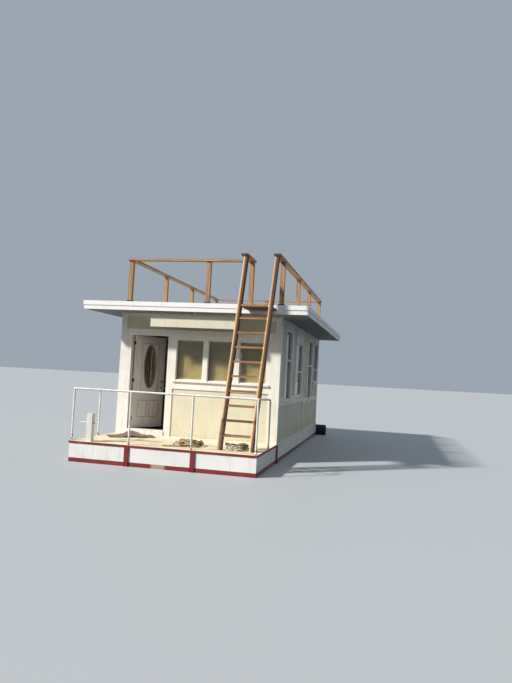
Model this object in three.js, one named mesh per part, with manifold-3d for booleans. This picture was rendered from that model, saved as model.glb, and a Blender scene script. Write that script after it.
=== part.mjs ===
// A small houseboat: a flat-bottomed barge hull with a one-room cabin that fills it from the front
// deck to the stern, a flat roof with wide eaves and a timber railing, and a ladder up to the roof.
//
// Every size below is in millimetres in the boat's own measuring frame: x runs to the right as seen
// from the bow, y runs aft from the bow's face, and z runs up from the waterline. The group at the
// end moves that frame so that the origin is under the middle of the boat, at the hull's bottom.

import * as THREE from 'three';
import { mergeVertices } from 'three/addons/utils/BufferGeometryUtils.js';
import Module from 'manifold-3d';

const wasm = await Module();
wasm.setup();

// Hull
const HULL_WIDTH = 3660;
const HULL_LENGTH = 8900;
const DECK_Z = 390;          // walking surface above the water
const DECK_THICK = 38;
const DRAFT = 300;
const CHINE_Z = -90;         // where the bow and stern rakes start
const RAKE = 420;            // how far the rakes run along the bottom
const BAND_HEIGHT = 34;      // the dark band round the deck's edge
const BAND_THICK = 14;
const BATTEN_WIDTH = 84;
const BATTEN_THICK = 26;

// Cabin
const WALL_THICK = 110;
const CABIN_HALF = 1800;     // outer face of the side walls
const CABIN_FRONT = 1972;    // outer face of the front wall
const CABIN_REAR = 8830;
const SOFFIT_Z = 3060;
const TRIM = 22;             // thickness of casings and corner boards
const GAP = 0.3;             // between a piece and the seat that it is cut for
const GLASS = 6;

// Door
const DOOR_LEFT = -1560;     // inner faces of the jambs
const DOOR_RIGHT = -700;
const JAMB = 30;
const DOOR_TOP = 2572;
const SILL_TOP = 500;
const DOOR_CLEAR = 6;
const SLAB_THICK = 45;
const SLAB_WIDTH = 846;
const HINGE = { x: -1556, y: 2095 };
const DOOR_OPEN = 60;        // degrees, as it stands
const KNUCKLE = 7;

// Roof
const ROOF_HALF = 2420;
const ROOF_FRONT = 1340;
const ROOF_REAR = 9200;
const ROOF_TOP = 3244;
const FASCIA_SPLIT = 3150;
const FASCIA_LOWER = 20;     // board thickness outside the roof's core
const FASCIA_UPPER = 32;

// Roof railing
const POST = 89;
const CAP_WIDTH = 140;
const CAP_THICK = 38;
const CAP_TOP = 4165;
const BASE_PLATE = 126;
const BASE_HEIGHT = 24;
const RAIL = { left: -1410, right: 1885, front: 1392, rear: 7830 };
const LADDER_POST_X = 1240;
const CAP_FORWARD = 690;     // front ends of the two caps that reach out to the ladder

// Ladder
const STILE = { wide: 66, deep: 150 };
const LADDER_FOOT = { left: 1024, right: 1636, y: 435 };
const LADDER_HEAD = { left: 1260, right: 1880, y: 785 };
const TREADS = 9;
const TREAD = { first: 660, last: 2892, thick: 38, deep: 130 };
const LANDING = { z0: 3124, thick: 38 };

// Deck railing: its side rails run aft from the corners and bend down to their own posts
const TUBE = 19;             // radius
const TUBE_Z = { front: 1385, aft: 1350 };
const TUBE_X = { left: -1820, right: 1798 };
const TUBE_Y = { front: 60, left: 1130, right: 1190 };
const BEND = 80;             // radius of the bend

const COLORS = {
  hullWhite: 0xefeeea, trimWhite: 0xf4f1e6, cream: 0xe6dec2, deckTan: 0xd9cba6,
  red: 0x7c2d2c, wood: 0xb47a4c, glass: 0x35362f, door: 0xd9d6cf, black: 0x121214,
  steel: 0xb9bab8, rope: 0xa48e6a, mat: 0x6f5440, roof: 0xd8d6d0,
};

const boat = new THREE.Group();

function addTo(parent, name, geometry, color, roughness = 0.7, metalness = 0) {
  const mesh = new THREE.Mesh(geometry, new THREE.MeshStandardMaterial({ color, roughness, metalness }));
  mesh.name = name;
  parent.add(mesh);
  return mesh;
}
const add = (name, geometry, color, roughness, metalness) =>
  addTo(boat, name, geometry, color, roughness, metalness);

// A box given by its two ends along each axis.
function span(x0, x1, y0, y1, z0, z1) {
  const box = new THREE.BoxGeometry(x1 - x0, y1 - y0, z1 - z0);
  box.translate((x0 + x1) / 2, (y0 + y1) / 2, (z0 + z1) / 2);
  return box;
}

// A cylinder between two points.
function rod(from, to, radius, sides = 12) {
  const a = new THREE.Vector3(...from);
  const b = new THREE.Vector3(...to);
  const axis = b.clone().sub(a);
  const geometry = new THREE.CylinderGeometry(radius, radius, axis.length(), sides);
  geometry.applyQuaternion(new THREE.Quaternion().setFromUnitVectors(
    new THREE.Vector3(0, 1, 0), axis.clone().normalize()));
  const middle = a.add(b).multiplyScalar(0.5);
  geometry.translate(middle.x, middle.y, middle.z);
  return geometry;
}

// Solids for cutting and joining.
function solid(geometry) {
  const bare = geometry.clone();
  bare.deleteAttribute('normal');
  bare.deleteAttribute('uv');
  const merged = mergeVertices(bare, 1e-4);
  return new wasm.Manifold(new wasm.Mesh({
    numProp: 3,
    vertProperties: new Float32Array(merged.attributes.position.array),
    triVerts: new Uint32Array(merged.index.array),
  }));
}
function shape(manifold) {
  const mesh = manifold.getMesh();
  const geometry = new THREE.BufferGeometry();
  geometry.setAttribute('position', new THREE.BufferAttribute(new Float32Array(mesh.vertProperties), 3));
  geometry.setIndex(new THREE.BufferAttribute(new Uint32Array(mesh.triVerts), 1));
  geometry.computeVertexNormals();
  return geometry;
}
function join(geometries, cuts = []) {
  let result = solid(geometries[0]);
  for (const geometry of geometries.slice(1)) result = result.add(solid(geometry));
  for (const geometry of cuts) result = result.subtract(solid(geometry));
  return shape(result);
}

// A frame between an outer and an inner rectangle, from z0 to z1.
function ring(outer, inner, z0, z1) {
  return join([span(outer.x0, outer.x1, outer.y0, outer.y1, z0, z1)],
    [span(inner.x0, inner.x1, inner.y0, inner.y1, z0 - 5, z1 + 5)]);
}

// Hull, with a raked bow and stern below the chine, and the deck that covers it

const hullSide = new THREE.Shape([
  [0, DECK_Z - DECK_THICK], [0, CHINE_Z], [RAKE, -DRAFT], [HULL_LENGTH - RAKE, -DRAFT],
  [HULL_LENGTH, CHINE_Z], [HULL_LENGTH, DECK_Z - DECK_THICK],
].map(([y, z]) => new THREE.Vector2(y, z)));
const hull = new THREE.ExtrudeGeometry(hullSide, { depth: HULL_WIDTH, bevelEnabled: false });
hull.applyMatrix4(new THREE.Matrix4().makeBasis(
  new THREE.Vector3(0, 1, 0), new THREE.Vector3(0, 0, 1), new THREE.Vector3(1, 0, 0)));
hull.translate(-HULL_WIDTH / 2, 0, 0);
add('hull', hull, COLORS.hullWhite, 0.45);

const HALF = HULL_WIDTH / 2;
add('deck', span(-HALF, HALF, 0, HULL_LENGTH, DECK_Z - DECK_THICK, DECK_Z), COLORS.deckTan, 0.8);

add('gunwale_band', ring(
  { x0: -HALF - BAND_THICK, x1: HALF + BAND_THICK, y0: -BAND_THICK, y1: HULL_LENGTH + BAND_THICK },
  { x0: -HALF, x1: HALF, y0: 0, y1: HULL_LENGTH },
  DECK_Z - BAND_HEIGHT, DECK_Z), COLORS.red, 0.55);

// Upright battens on the hull: two on the bow, two on the stern, and one on each side.
const battenTop = DECK_Z - BAND_HEIGHT;
const battens = [
  // name, centre along the face, face
  ['batten_bow_left', -650, 'bow'], ['batten_bow_right', 640, 'bow'],
  ['batten_stern_left', -650, 'stern'], ['batten_stern_right', 640, 'stern'],
  ['batten_side_left', 1935, 'left'], ['batten_side_right', 1935, 'right'],
];
for (const [name, at, face] of battens) {
  const a = at - BATTEN_WIDTH / 2;
  const b = at + BATTEN_WIDTH / 2;
  const box = {
    bow: () => span(a, b, -BATTEN_THICK, 0, CHINE_Z, battenTop),
    stern: () => span(a, b, HULL_LENGTH, HULL_LENGTH + BATTEN_THICK, CHINE_Z, battenTop),
    left: () => span(-HALF - BATTEN_THICK, -HALF, a, b, CHINE_Z, battenTop),
    right: () => span(HALF, HALF + BATTEN_THICK, a, b, CHINE_Z, battenTop),
  }[face]();
  add(name, box, COLORS.red, 0.55);
}

// Windows: where each opening lies along its wall, and its lower and upper edges. The side
// windows are pairs of sashes, and rail is the height at which a pair meets.

const frontWindows = [
  { from: -498, to: 117, z0: 1620, z1: 2512 },
  { from: 222, to: 820, z0: 1620, z1: 2512 },
  { from: 930, to: 1530, z0: 1620, z1: 2512 },
];
const sideWindows = [
  { from: 2680, to: 3500, z0: 1270, z1: 2880, rail: 2186 },
  { from: 4190, to: 5270, z0: 1321, z1: 2680, rail: 1945 },
  { from: 6420, to: 7310, z0: 1190, z1: 2880, rail: 2149 },
  { from: 7820, to: 8640, z0: 1670, z1: 2870, rail: 2060 },
];
const rearWindows = [
  { from: -1150, to: -350, z0: 1560, z1: 2512 },
  { from: 350, to: 1150, z0: 1560, z1: 2512 },
];

// Walls: the front and rear walls run the full width, and the side walls stand between them

const PAST = 20;             // how far a cutter runs past the face that it cuts
add('wall_front', join(
  [span(-CABIN_HALF, CABIN_HALF, CABIN_FRONT, CABIN_FRONT + WALL_THICK, DECK_Z, SOFFIT_Z)],
  [
    span(DOOR_LEFT - JAMB, DOOR_RIGHT + JAMB, CABIN_FRONT - PAST, CABIN_FRONT + WALL_THICK + PAST,
      DECK_Z - PAST, DOOR_TOP + JAMB),
    ...frontWindows.map((w) => span(w.from, w.to, CABIN_FRONT - PAST, CABIN_FRONT + WALL_THICK + PAST,
      w.z0, w.z1)),
  ]), COLORS.cream);
add('wall_rear', join(
  [span(-CABIN_HALF, CABIN_HALF, CABIN_REAR - WALL_THICK, CABIN_REAR, DECK_Z, SOFFIT_Z)],
  rearWindows.map((w) => span(w.from, w.to, CABIN_REAR - WALL_THICK - PAST, CABIN_REAR + PAST,
    w.z0, w.z1))), COLORS.cream);
for (const [name, side] of [['wall_left', -1], ['wall_right', 1]]) {
  const inner = CABIN_HALF - WALL_THICK;
  const wall = join(
    [span(inner, CABIN_HALF, CABIN_FRONT + WALL_THICK, CABIN_REAR - WALL_THICK, DECK_Z, SOFFIT_Z)],
    sideWindows.map((w) => span(inner - PAST, CABIN_HALF + PAST, w.from, w.to, w.z0, w.z1)));
  add(name, side > 0 ? wall : mirrored(wall), COLORS.cream);
}

// The same geometry on the other side of the boat's middle plane.
function mirrored(geometry) {
  const copy = geometry.clone();
  copy.scale(-1, 1, 1);
  const index = copy.index.array;
  for (let i = 0; i < index.length; i += 3) [index[i], index[i + 1]] = [index[i + 1], index[i]];
  copy.computeVertexNormals();
  return copy;
}

// Casings, corner boards, belt and header of the front wall, all one surface of boards

const FACE = CABIN_FRONT - TRIM;
const TRIM_HALF = CABIN_HALF + TRIM;
const TRIM_TOP = SOFFIT_Z;
const BELT_BOTTOM = 1427;
const board = (x0, x1, z0, z1, proud = 0) => span(x0, x1, FACE - proud, CABIN_FRONT, z0, z1);
add('trim_front', join([
  board(-TRIM_HALF, TRIM_HALF, DECK_Z, TRIM_TOP),
  board(-553, 1600, 1583, 1618, 38),                  // sill under the three windows
  board(-1700, TRIM_HALF - 60, 2585, 2712, 12),       // header over the door and windows
  board(-TRIM_HALF + 1, TRIM_HALF - 1, 2995, TRIM_TOP, 26),   // moulding under the soffit
], [
  board(DOOR_LEFT, DOOR_RIGHT, DECK_Z - PAST, DOOR_TOP, PAST).translate(0, 5, 0),
  board(-553, 1600, DECK_Z - PAST, BELT_BOTTOM, PAST).translate(0, 5, 0),
  board(-1700, 1700, 2712, 2995, PAST).translate(0, 5, 0),    // panel between header and soffit
  ...frontWindows.map((w) => board(w.from, w.to, w.z0, w.z1, 60).translate(0, 20, 0)),
]), COLORS.trimWhite, 0.6);

// Casings and sashes of one side wall, made for the right side. Each window is a pair of
// sashes that meet at a rail half way up.

const CASING = 100;
const SASH = 46;
const SASH_BACK = CABIN_HALF - 48;
function sideTrim(windows, y0, y1) {
  const plank = (a, b, z0, z1, proud = 0) =>
    span(CABIN_HALF, CABIN_HALF + TRIM + proud, a, b, z0, z1);
  const parts = [
    plank(y0, y1, 2960, TRIM_TOP),                    // frieze
    plank(y0, y0 + 118, DECK_Z, TRIM_TOP),            // corner boards
    plank(y1 - 118, y1, DECK_Z, TRIM_TOP),
    plank(y0, 5530, 1175, 1360),                      // apron under the first two windows
    plank(5530, y1, 1120, 1250),
    plank(5755, 5845, DECK_Z, 1200),                  // batten over the joint of two panels
  ];
  const cuts = [];
  for (const w of windows) {
    parts.push(plank(w.from - CASING, w.to + CASING, w.z0 - 90, 2990));
    parts.push(plank(w.from - CASING - 15, w.to + CASING + 15, w.z0 - 32, w.z0 - 2, 24));
    if (w.z0 > 1500) {                                // a high window stands on legs
      parts.push(plank(w.from - CASING, w.from, 1200, w.z0));
      parts.push(plank(w.to, w.to + CASING, 1200, w.z0));
    }
    cuts.push(plank(w.from, w.to, w.z0, w.z1, 60));
    cuts.push(span(CABIN_HALF - 5, CABIN_HALF + 60, w.from, w.to, w.z0, w.z1));
  }
  let result = join(parts, cuts);
  // the sashes fill the opening as a frame with a meeting rail, and are seated on the casing's edge
  for (const w of windows) {
    const frame = join(
      [span(SASH_BACK, CABIN_HALF + 6, w.from + GAP, w.to - GAP, w.z0 + GAP, w.z1 - GAP)],
      [
        span(SASH_BACK - 5, CABIN_HALF + 12, w.from + SASH, w.to - SASH, w.z0 + SASH, w.rail - 20),
        span(SASH_BACK - 5, CABIN_HALF + 12, w.from + SASH, w.to - SASH, w.rail + 20, w.z1 - SASH),
      ]);
    const seat = join(
      [span(CABIN_HALF, CABIN_HALF + 6, w.from - 2, w.to + 2, w.z0 - 2, w.z1 + 2)],
      [span(CABIN_HALF - 5, CABIN_HALF + 12, w.from + 20, w.to - 20, w.z0 + 20, w.z1 - 20)]);
    const pane = span(SASH_BACK + 10, SASH_BACK + 10 + GLASS + 2 * GAP,
      w.from + SASH - 12 - GAP, w.to - SASH + 12 + GAP, w.z0 + SASH - 12 - GAP, w.z1 - SASH + 12 + GAP);
    result = join([result, frame, seat], [pane]);
  }
  return result;
}
const rightTrim = sideTrim(sideWindows, CABIN_FRONT, CABIN_REAR);
add('trim_right', rightTrim, COLORS.trimWhite, 0.6);
add('trim_left', mirrored(rightTrim), COLORS.trimWhite, 0.6);

// The rear wall carries the same corner boards, with two windows.
const rearBoard = (x0, x1, z0, z1, proud = 0) =>
  span(x0, x1, CABIN_REAR, CABIN_REAR + TRIM + proud, z0, z1);
const rearCuts = rearWindows.map((w) => span(w.from, w.to, CABIN_REAR - 5, CABIN_REAR + 60, w.z0, w.z1));
add('trim_rear', join([
  rearBoard(-TRIM_HALF, TRIM_HALF, 2960, TRIM_TOP),
  rearBoard(-TRIM_HALF, -TRIM_HALF + 118, DECK_Z, TRIM_TOP),
  rearBoard(TRIM_HALF - 118, TRIM_HALF, DECK_Z, TRIM_TOP),
  rearBoard(-TRIM_HALF, TRIM_HALF, 1360, 1460),
  ...rearWindows.flatMap((w) => [
    rearBoard(w.from - CASING, w.to + CASING, 1400, 2990),
    rearBoard(w.from - CASING - 15, w.to + CASING + 15, w.z0 - 32, w.z0 - 2, 24),
  ]),
], rearCuts), COLORS.trimWhite, 0.6);

// Window glass

function paneIn(w, x0, x1, y0, y1) {
  return span(x0, x1, y0, y1, w.z0, w.z1);
}
frontWindows.forEach((w, i) => add(`glass_front_${i + 1}`,
  span(w.from + GAP, w.to - GAP, CABIN_FRONT + 18, CABIN_FRONT + 18 + GLASS, w.z0 + GAP, w.z1 - GAP),
  COLORS.glass, 0.1));
rearWindows.forEach((w, i) => add(`glass_rear_${i + 1}`,
  span(w.from + GAP, w.to - GAP, CABIN_REAR - 18 - GLASS, CABIN_REAR - 18, w.z0 + GAP, w.z1 - GAP),
  COLORS.glass, 0.1));
for (const [side, word] of [[1, 'right'], [-1, 'left']]) {
  sideWindows.forEach((w, i) => {
    const x0 = SASH_BACK + 10 + GAP;
    const pane = { from: w.from + SASH - 12, to: w.to - SASH + 12, z0: w.z0 + SASH - 12, z1: w.z1 - SASH + 12 };
    const glass = side > 0
      ? paneIn(pane, x0, x0 + GLASS, pane.from, pane.to)
      : paneIn(pane, -x0 - GLASS, -x0, pane.from, pane.to);
    add(`glass_${word}_${i + 1}`, glass, COLORS.glass, 0.1);
  });
}

// Door frame, threshold, and the door itself, which swings in about its left edge

const inside = CABIN_FRONT + WALL_THICK;
const jambs = (x0, x1, z1, y0, y1) => span(x0, x1, y0, y1, DECK_Z, z1);
const HINGE_Z = [720, 1560, 2400];
const LEAF = { half: 45, gap: 0.5, fixed: 22 };      // the door's knuckle turns between two fixed ones
const fixedKnuckles = HINGE_Z.flatMap((z) => [-1, 1].flatMap((way) => {
  const near = z + way * (LEAF.half + LEAF.gap);
  const far = z + way * (LEAF.half + LEAF.fixed);
  const [z0, z1] = way > 0 ? [near, far] : [far, near];
  return [
    rod([HINGE.x, HINGE.y, z0], [HINGE.x, HINGE.y, z1], KNUCKLE, 10),
    span(HINGE.x - 28, HINGE.x - 5, inside - 0.5, HINGE.y + 4, z0, z1),
    span(HINGE.x - 5.5, HINGE.x, HINGE.y - 5, HINGE.y + 4, z0, z1),
  ];
}));
add('door_frame', join([
  jambs(DOOR_LEFT - JAMB + GAP, DOOR_RIGHT + JAMB - GAP, DOOR_TOP + JAMB - GAP, CABIN_FRONT, inside),
  ...fixedKnuckles,
], [
  span(DOOR_LEFT, DOOR_RIGHT, CABIN_FRONT - PAST, inside + 2, DECK_Z - PAST, DOOR_TOP),
]), COLORS.trimWhite, 0.6);
add('threshold', span(DOOR_LEFT + GAP, DOOR_RIGHT - GAP, FACE - 25, inside, DECK_Z, SILL_TOP),
  COLORS.trimWhite, 0.6);

// The door's own frame: origin on the hinge line at the sill, x along the slab, y inward.
const door = new THREE.Group();
door.position.set(HINGE.x, HINGE.y, 0);
door.rotation.z = THREE.MathUtils.degToRad(DOOR_OPEN);
boat.add(door);
const slabY = { outer: inside - SLAB_THICK - HINGE.y, inner: inside - HINGE.y };
const slabZ = { bottom: SILL_TOP + DOOR_CLEAR, top: DOOR_TOP - DOOR_CLEAR };
const OVAL = { x: 425, z: 1880, halfWide: 148, halfTall: 470 };
function ovalPlate(halfWide, halfTall, y0, y1) {
  const outline = new THREE.Shape();
  outline.absellipse(0, 0, halfWide, halfTall, 0, 2 * Math.PI, false, 0);
  const plate = new THREE.ExtrudeGeometry(outline, { depth: y1 - y0, bevelEnabled: false, curveSegments: 16 });
  plate.rotateX(Math.PI / 2);
  plate.translate(OVAL.x, y1, OVAL.z);
  return plate;
}
const hinges = HINGE_Z.flatMap((z) => [
  rod([0, 0, z - LEAF.half], [0, 0, z + LEAF.half], KNUCKLE, 10),
  span(1.5, 50, slabY.inner - 1, slabY.inner + 9, z - LEAF.half, z + LEAF.half),
]);
addTo(door, 'door_slab', join(
  [span(2, SLAB_WIDTH + 2, slabY.outer, slabY.inner, slabZ.bottom, slabZ.top), ...hinges],
  [ovalPlate(OVAL.halfWide, OVAL.halfTall, slabY.outer - 10, slabY.inner + 10)]), COLORS.door, 0.6);
addTo(door, 'door_glass', ovalPlate(OVAL.halfWide - GAP, OVAL.halfTall - GAP,
  slabY.outer + 14, slabY.outer + 14 + 16), COLORS.glass, 0.1);
const HANDLE = { x: SLAB_WIDTH - 68, z: 1545 };
addTo(door, 'door_handle_outer', join([
  rod([HANDLE.x, slabY.outer - 12, HANDLE.z], [HANDLE.x, slabY.outer - GAP, HANDLE.z], 32, 16),
  rod([HANDLE.x, slabY.outer - 46, HANDLE.z], [HANDLE.x, slabY.outer - 6, HANDLE.z], 12, 12),
  rod([HANDLE.x, slabY.outer - 72, HANDLE.z], [HANDLE.x, slabY.outer - 38, HANDLE.z], 27, 16),
]), COLORS.steel, 0.3, 1);
addTo(door, 'door_handle_inner', join([
  rod([HANDLE.x, slabY.inner + GAP, HANDLE.z], [HANDLE.x, slabY.inner + 12, HANDLE.z], 32, 16),
  rod([HANDLE.x, slabY.inner + 6, HANDLE.z], [HANDLE.x, slabY.inner + 46, HANDLE.z], 12, 12),
  rod([HANDLE.x, slabY.inner + 38, HANDLE.z], [HANDLE.x, slabY.inner + 72, HANDLE.z], 27, 16),
]), COLORS.steel, 0.3, 1);

// Blank board under the roof's front edge, on three hangers from the soffit
const SIGN = { x0: -935, x1: 985, y: 1445, thick: 22, z0: 2735, z1: 2975 };
add('sign_board', join([
  span(SIGN.x0, SIGN.x1, SIGN.y, SIGN.y + SIGN.thick, SIGN.z0, SIGN.z1),
  ...[-720, 25, 770].map((x) =>
    span(x - 20, x + 20, SIGN.y + SIGN.thick - 1, SIGN.y + 2 * SIGN.thick, SIGN.z0 + 60, SOFFIT_Z)),
]), COLORS.trimWhite, 0.6);

// Roof: a core, and two courses of fascia board, the upper one standing a little further out

const core = { x0: -ROOF_HALF, x1: ROOF_HALF, y0: ROOF_FRONT, y1: ROOF_REAR };
const grown = (by) => ({ x0: core.x0 - by, x1: core.x1 + by, y0: core.y0 - by, y1: core.y1 + by });
add('roof', span(core.x0, core.x1, core.y0, core.y1, SOFFIT_Z, ROOF_TOP), COLORS.roof, 0.7);
add('fascia_lower', ring(grown(FASCIA_LOWER), core, SOFFIT_Z, FASCIA_SPLIT), COLORS.trimWhite, 0.6);
add('fascia_upper', ring(grown(FASCIA_UPPER), core, FASCIA_SPLIT, ROOF_TOP), COLORS.trimWhite, 0.6);

// Roof railing: square posts on base plates under a flat cap

const capZ = { bottom: CAP_TOP - CAP_THICK, top: CAP_TOP };
function post(x, y) {
  return [
    span(x - POST / 2, x + POST / 2, y - POST / 2, y + POST / 2, ROOF_TOP, capZ.bottom + 1),
    span(x - BASE_PLATE / 2, x + BASE_PLATE / 2, y - BASE_PLATE / 2, y + BASE_PLATE / 2,
      ROOF_TOP, ROOF_TOP + BASE_HEIGHT),
  ];
}
const cap = (x0, x1, y0, y1) => span(x0, x1, y0, y1, capZ.bottom, capZ.top);
const halfCap = CAP_WIDTH / 2;
const railings = [
  {
    name: 'roof_rail_left',
    cap: [RAIL.left - halfCap, RAIL.left + halfCap, RAIL.front - halfCap, RAIL.rear + halfCap],
    posts: [[RAIL.left, RAIL.front], [RAIL.left, 3450], [RAIL.left, 5430], [RAIL.left, RAIL.rear]],
  },
  {
    name: 'roof_rail_right',
    cap: [RAIL.right - halfCap, RAIL.right + halfCap, CAP_FORWARD, RAIL.rear + halfCap],
    posts: [[RAIL.right, RAIL.front], [RAIL.right, 3530], [RAIL.right, 5480], [RAIL.right, RAIL.rear]],
  },
  {
    name: 'roof_rail_front',
    cap: [RAIL.left + halfCap, LADDER_POST_X - halfCap, RAIL.front - halfCap, RAIL.front + halfCap],
    posts: [[320, RAIL.front]],
  },
  {
    name: 'roof_rail_rear',
    cap: [RAIL.left + halfCap, RAIL.right - halfCap, RAIL.rear - halfCap, RAIL.rear + halfCap],
    posts: [[240, RAIL.rear]],
  },
  {
    name: 'ladder_hand_rail',
    cap: [LADDER_POST_X - halfCap, LADDER_POST_X + halfCap, CAP_FORWARD, RAIL.front + halfCap],
    posts: [[LADDER_POST_X, RAIL.front]],
  },
];
for (const railing of railings) {
  add(railing.name, join([cap(...railing.cap), ...railing.posts.flatMap(([x, y]) => post(x, y))]),
    COLORS.wood, 0.75);
}

// Ladder: two deep stiles that lean back and a little to the right, nine treads, and a landing
// board from its top to the roof's edge

const ladderBox = { z0: DECK_Z, z1: capZ.bottom };
function stileAt(z, side) {
  const t = (z - ladderBox.z0) / (ladderBox.z1 - ladderBox.z0);
  return {
    x: LADDER_FOOT[side] + t * (LADDER_HEAD[side] - LADDER_FOOT[side]),
    y: LADDER_FOOT.y + t * (LADDER_HEAD.y - LADDER_FOOT.y),
  };
}
// A stile is a prism whose ends are cut level: the same rectangle at the foot and at the head.
function stile(side, below = 0, above = 0) {
  const a = stileAt(ladderBox.z0 - below, side);
  const b = stileAt(ladderBox.z1 + above, side);
  const geometry = new THREE.BoxGeometry(STILE.wide, STILE.deep, 1);
  const position = geometry.attributes.position;
  for (let i = 0; i < position.count; i++) {
    const top = position.getZ(i) > 0;
    const end = top ? b : a;
    position.setXYZ(i, position.getX(i) + end.x, position.getY(i) + end.y,
      top ? ladderBox.z1 + above : ladderBox.z0 - below);
  }
  return geometry;
}
const treads = [];
for (let i = 0; i < TREADS; i++) {
  const z = TREAD.first + i * (TREAD.last - TREAD.first) / (TREADS - 1);
  const left = stileAt(z, 'left');
  const right = stileAt(z, 'right');
  treads.push(span(left.x, right.x, left.y - TREAD.deep / 2, left.y + TREAD.deep / 2,
    z - TREAD.thick / 2, z + TREAD.thick / 2));
}
add('ladder', join([stile('left'), stile('right'), ...treads]), COLORS.wood, 0.75);

const landingAt = stileAt(LANDING.z0, 'left');
const landingRight = stileAt(LANDING.z0, 'right');
add('landing', join([
  span(landingAt.x + STILE.wide / 2 - 20, landingRight.x - STILE.wide / 2 + 20,
    landingAt.y - STILE.deep / 2 + 5, ROOF_FRONT - FASCIA_UPPER, LANDING.z0, LANDING.z0 + LANDING.thick),
], [
  widerStile('left'), widerStile('right'),
]), COLORS.wood, 0.75);

// The room that a stile needs in the landing board.
function widerStile(side) {
  const geometry = stile(side);
  const position = geometry.attributes.position;
  for (let i = 0; i < position.count; i++) {
    const top = position.getZ(i) > (ladderBox.z0 + ladderBox.z1) / 2;
    const middle = stileAt(top ? ladderBox.z1 : ladderBox.z0, side);
    position.setX(i, position.getX(i) + Math.sign(position.getX(i) - middle.x) * GAP);
    position.setY(i, position.getY(i) + Math.sign(position.getY(i) - middle.y) * GAP);
  }
  return geometry;
}

// Deck railing: white tube along the bow, with a side rail at each end

function pipe(points, radius) {
  const pieces = [];
  for (let i = 0; i + 1 < points.length; i++) {
    pieces.push(rod(points[i], points[i + 1], radius));
    if (i > 0) pieces.push(new THREE.SphereGeometry(radius, 12, 8).translate(...points[i]));
  }
  return pieces;
}
// From the corner aft, round the bend, and down to the deck.
function sideRail(x, aft) {
  const slope = (TUBE_Z.aft - TUBE_Z.front) / (aft - BEND - TUBE_Y.front);
  const points = [[x, TUBE_Y.front, TUBE_Z.front]];
  for (let i = 0; i <= 5; i++) {
    const turn = i / 5 * Math.PI / 2;
    points.push([x, aft - BEND + BEND * Math.sin(turn),
      TUBE_Z.aft - BEND * (1 - Math.cos(turn)) + slope * BEND * (1 - Math.sin(turn))]);
  }
  points.push([x, aft, DECK_Z]);
  return pipe(points, TUBE);
}
const { left, right } = TUBE_X;
const tubes = [
  ...pipe([[left, TUBE_Y.front, DECK_Z], [left, TUBE_Y.front, TUBE_Z.front],
    [right, TUBE_Y.front, TUBE_Z.front], [right, TUBE_Y.front, DECK_Z]], TUBE),
  ...[-650, 578].map((x) => rod([x, TUBE_Y.front, DECK_Z], [x, TUBE_Y.front, TUBE_Z.front], TUBE)),
  ...sideRail(left, TUBE_Y.left),
  ...sideRail(right, TUBE_Y.right),
];
const feet = [
  [left, TUBE_Y.front], [-650, TUBE_Y.front], [578, TUBE_Y.front], [right, TUBE_Y.front],
  [left, TUBE_Y.left], [right, TUBE_Y.right],
];
for (const [x, y] of feet) tubes.push(rod([x, y, DECK_Z], [x, y, DECK_Z + 10], TUBE + 5, 16));
add('deck_railing', join(tubes), COLORS.hullWhite, 0.35, 0.2);

// Mooring post at the bow's left corner, with a pin through it

const BITT = { x: -1476, y: 112, half: 56, top: 926 };
const PIN = { z: 746, radius: 12.5, from: -1682, to: -1295 };
add('mooring_post', join(
  [span(BITT.x - BITT.half, BITT.x + BITT.half, BITT.y - BITT.half, BITT.y + BITT.half, DECK_Z, BITT.top)],
  [rod([BITT.x - 80, BITT.y, PIN.z], [BITT.x + 80, BITT.y, PIN.z], PIN.radius + GAP, 12)]),
COLORS.hullWhite, 0.6);
add('mooring_pin', rod([PIN.from, BITT.y, PIN.z], [PIN.to, BITT.y, PIN.z], PIN.radius, 12),
  COLORS.hullWhite, 0.4, 0.3);

// Fender: a black roll that hangs across the stern and stands out past the right corner

const FENDER = { radius: 185, from: 1290, to: 2135, z: 130, round: 40 };
const roll = new THREE.LatheGeometry([
  [0, FENDER.from], [FENDER.radius - FENDER.round, FENDER.from],
  [FENDER.radius - 0.3 * FENDER.round, FENDER.from + 0.3 * FENDER.round],
  [FENDER.radius, FENDER.from + FENDER.round], [FENDER.radius, FENDER.to - FENDER.round],
  [FENDER.radius - 0.3 * FENDER.round, FENDER.to - 0.3 * FENDER.round],
  [FENDER.radius - FENDER.round, FENDER.to], [0, FENDER.to],
].map(([r, h]) => new THREE.Vector2(r, h)), 24);
roll.rotateZ(-Math.PI / 2);
roll.translate(0, HULL_LENGTH + GAP + FENDER.radius, FENDER.z);
add('stern_fender', roll, COLORS.black, 0.8);

// Two coils of mooring rope on the front deck, and a mat before the door

const coils = [
  // name, centre, inner and outer radius, height
  ['rope_coil_left', 345, 665, 80, 325, 145],
  ['rope_coil_right', 1335, 620, 60, 262, 165],
];
for (const [name, x, y, inner, outer, height] of coils) {
  const section = [
    [inner, 0], [outer, 0], [outer, 0.55 * height], [0.72 * outer + 0.28 * inner, height],
    [0.35 * outer + 0.65 * inner, height], [inner, 0.55 * height], [inner, 0],
  ].map(([r, h]) => new THREE.Vector2(r, h));
  const coil = new THREE.LatheGeometry(section, 28);
  coil.rotateX(Math.PI / 2);
  coil.translate(x, y, DECK_Z + GAP);
  add(name, coil, COLORS.rope, 0.9);
}

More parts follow.
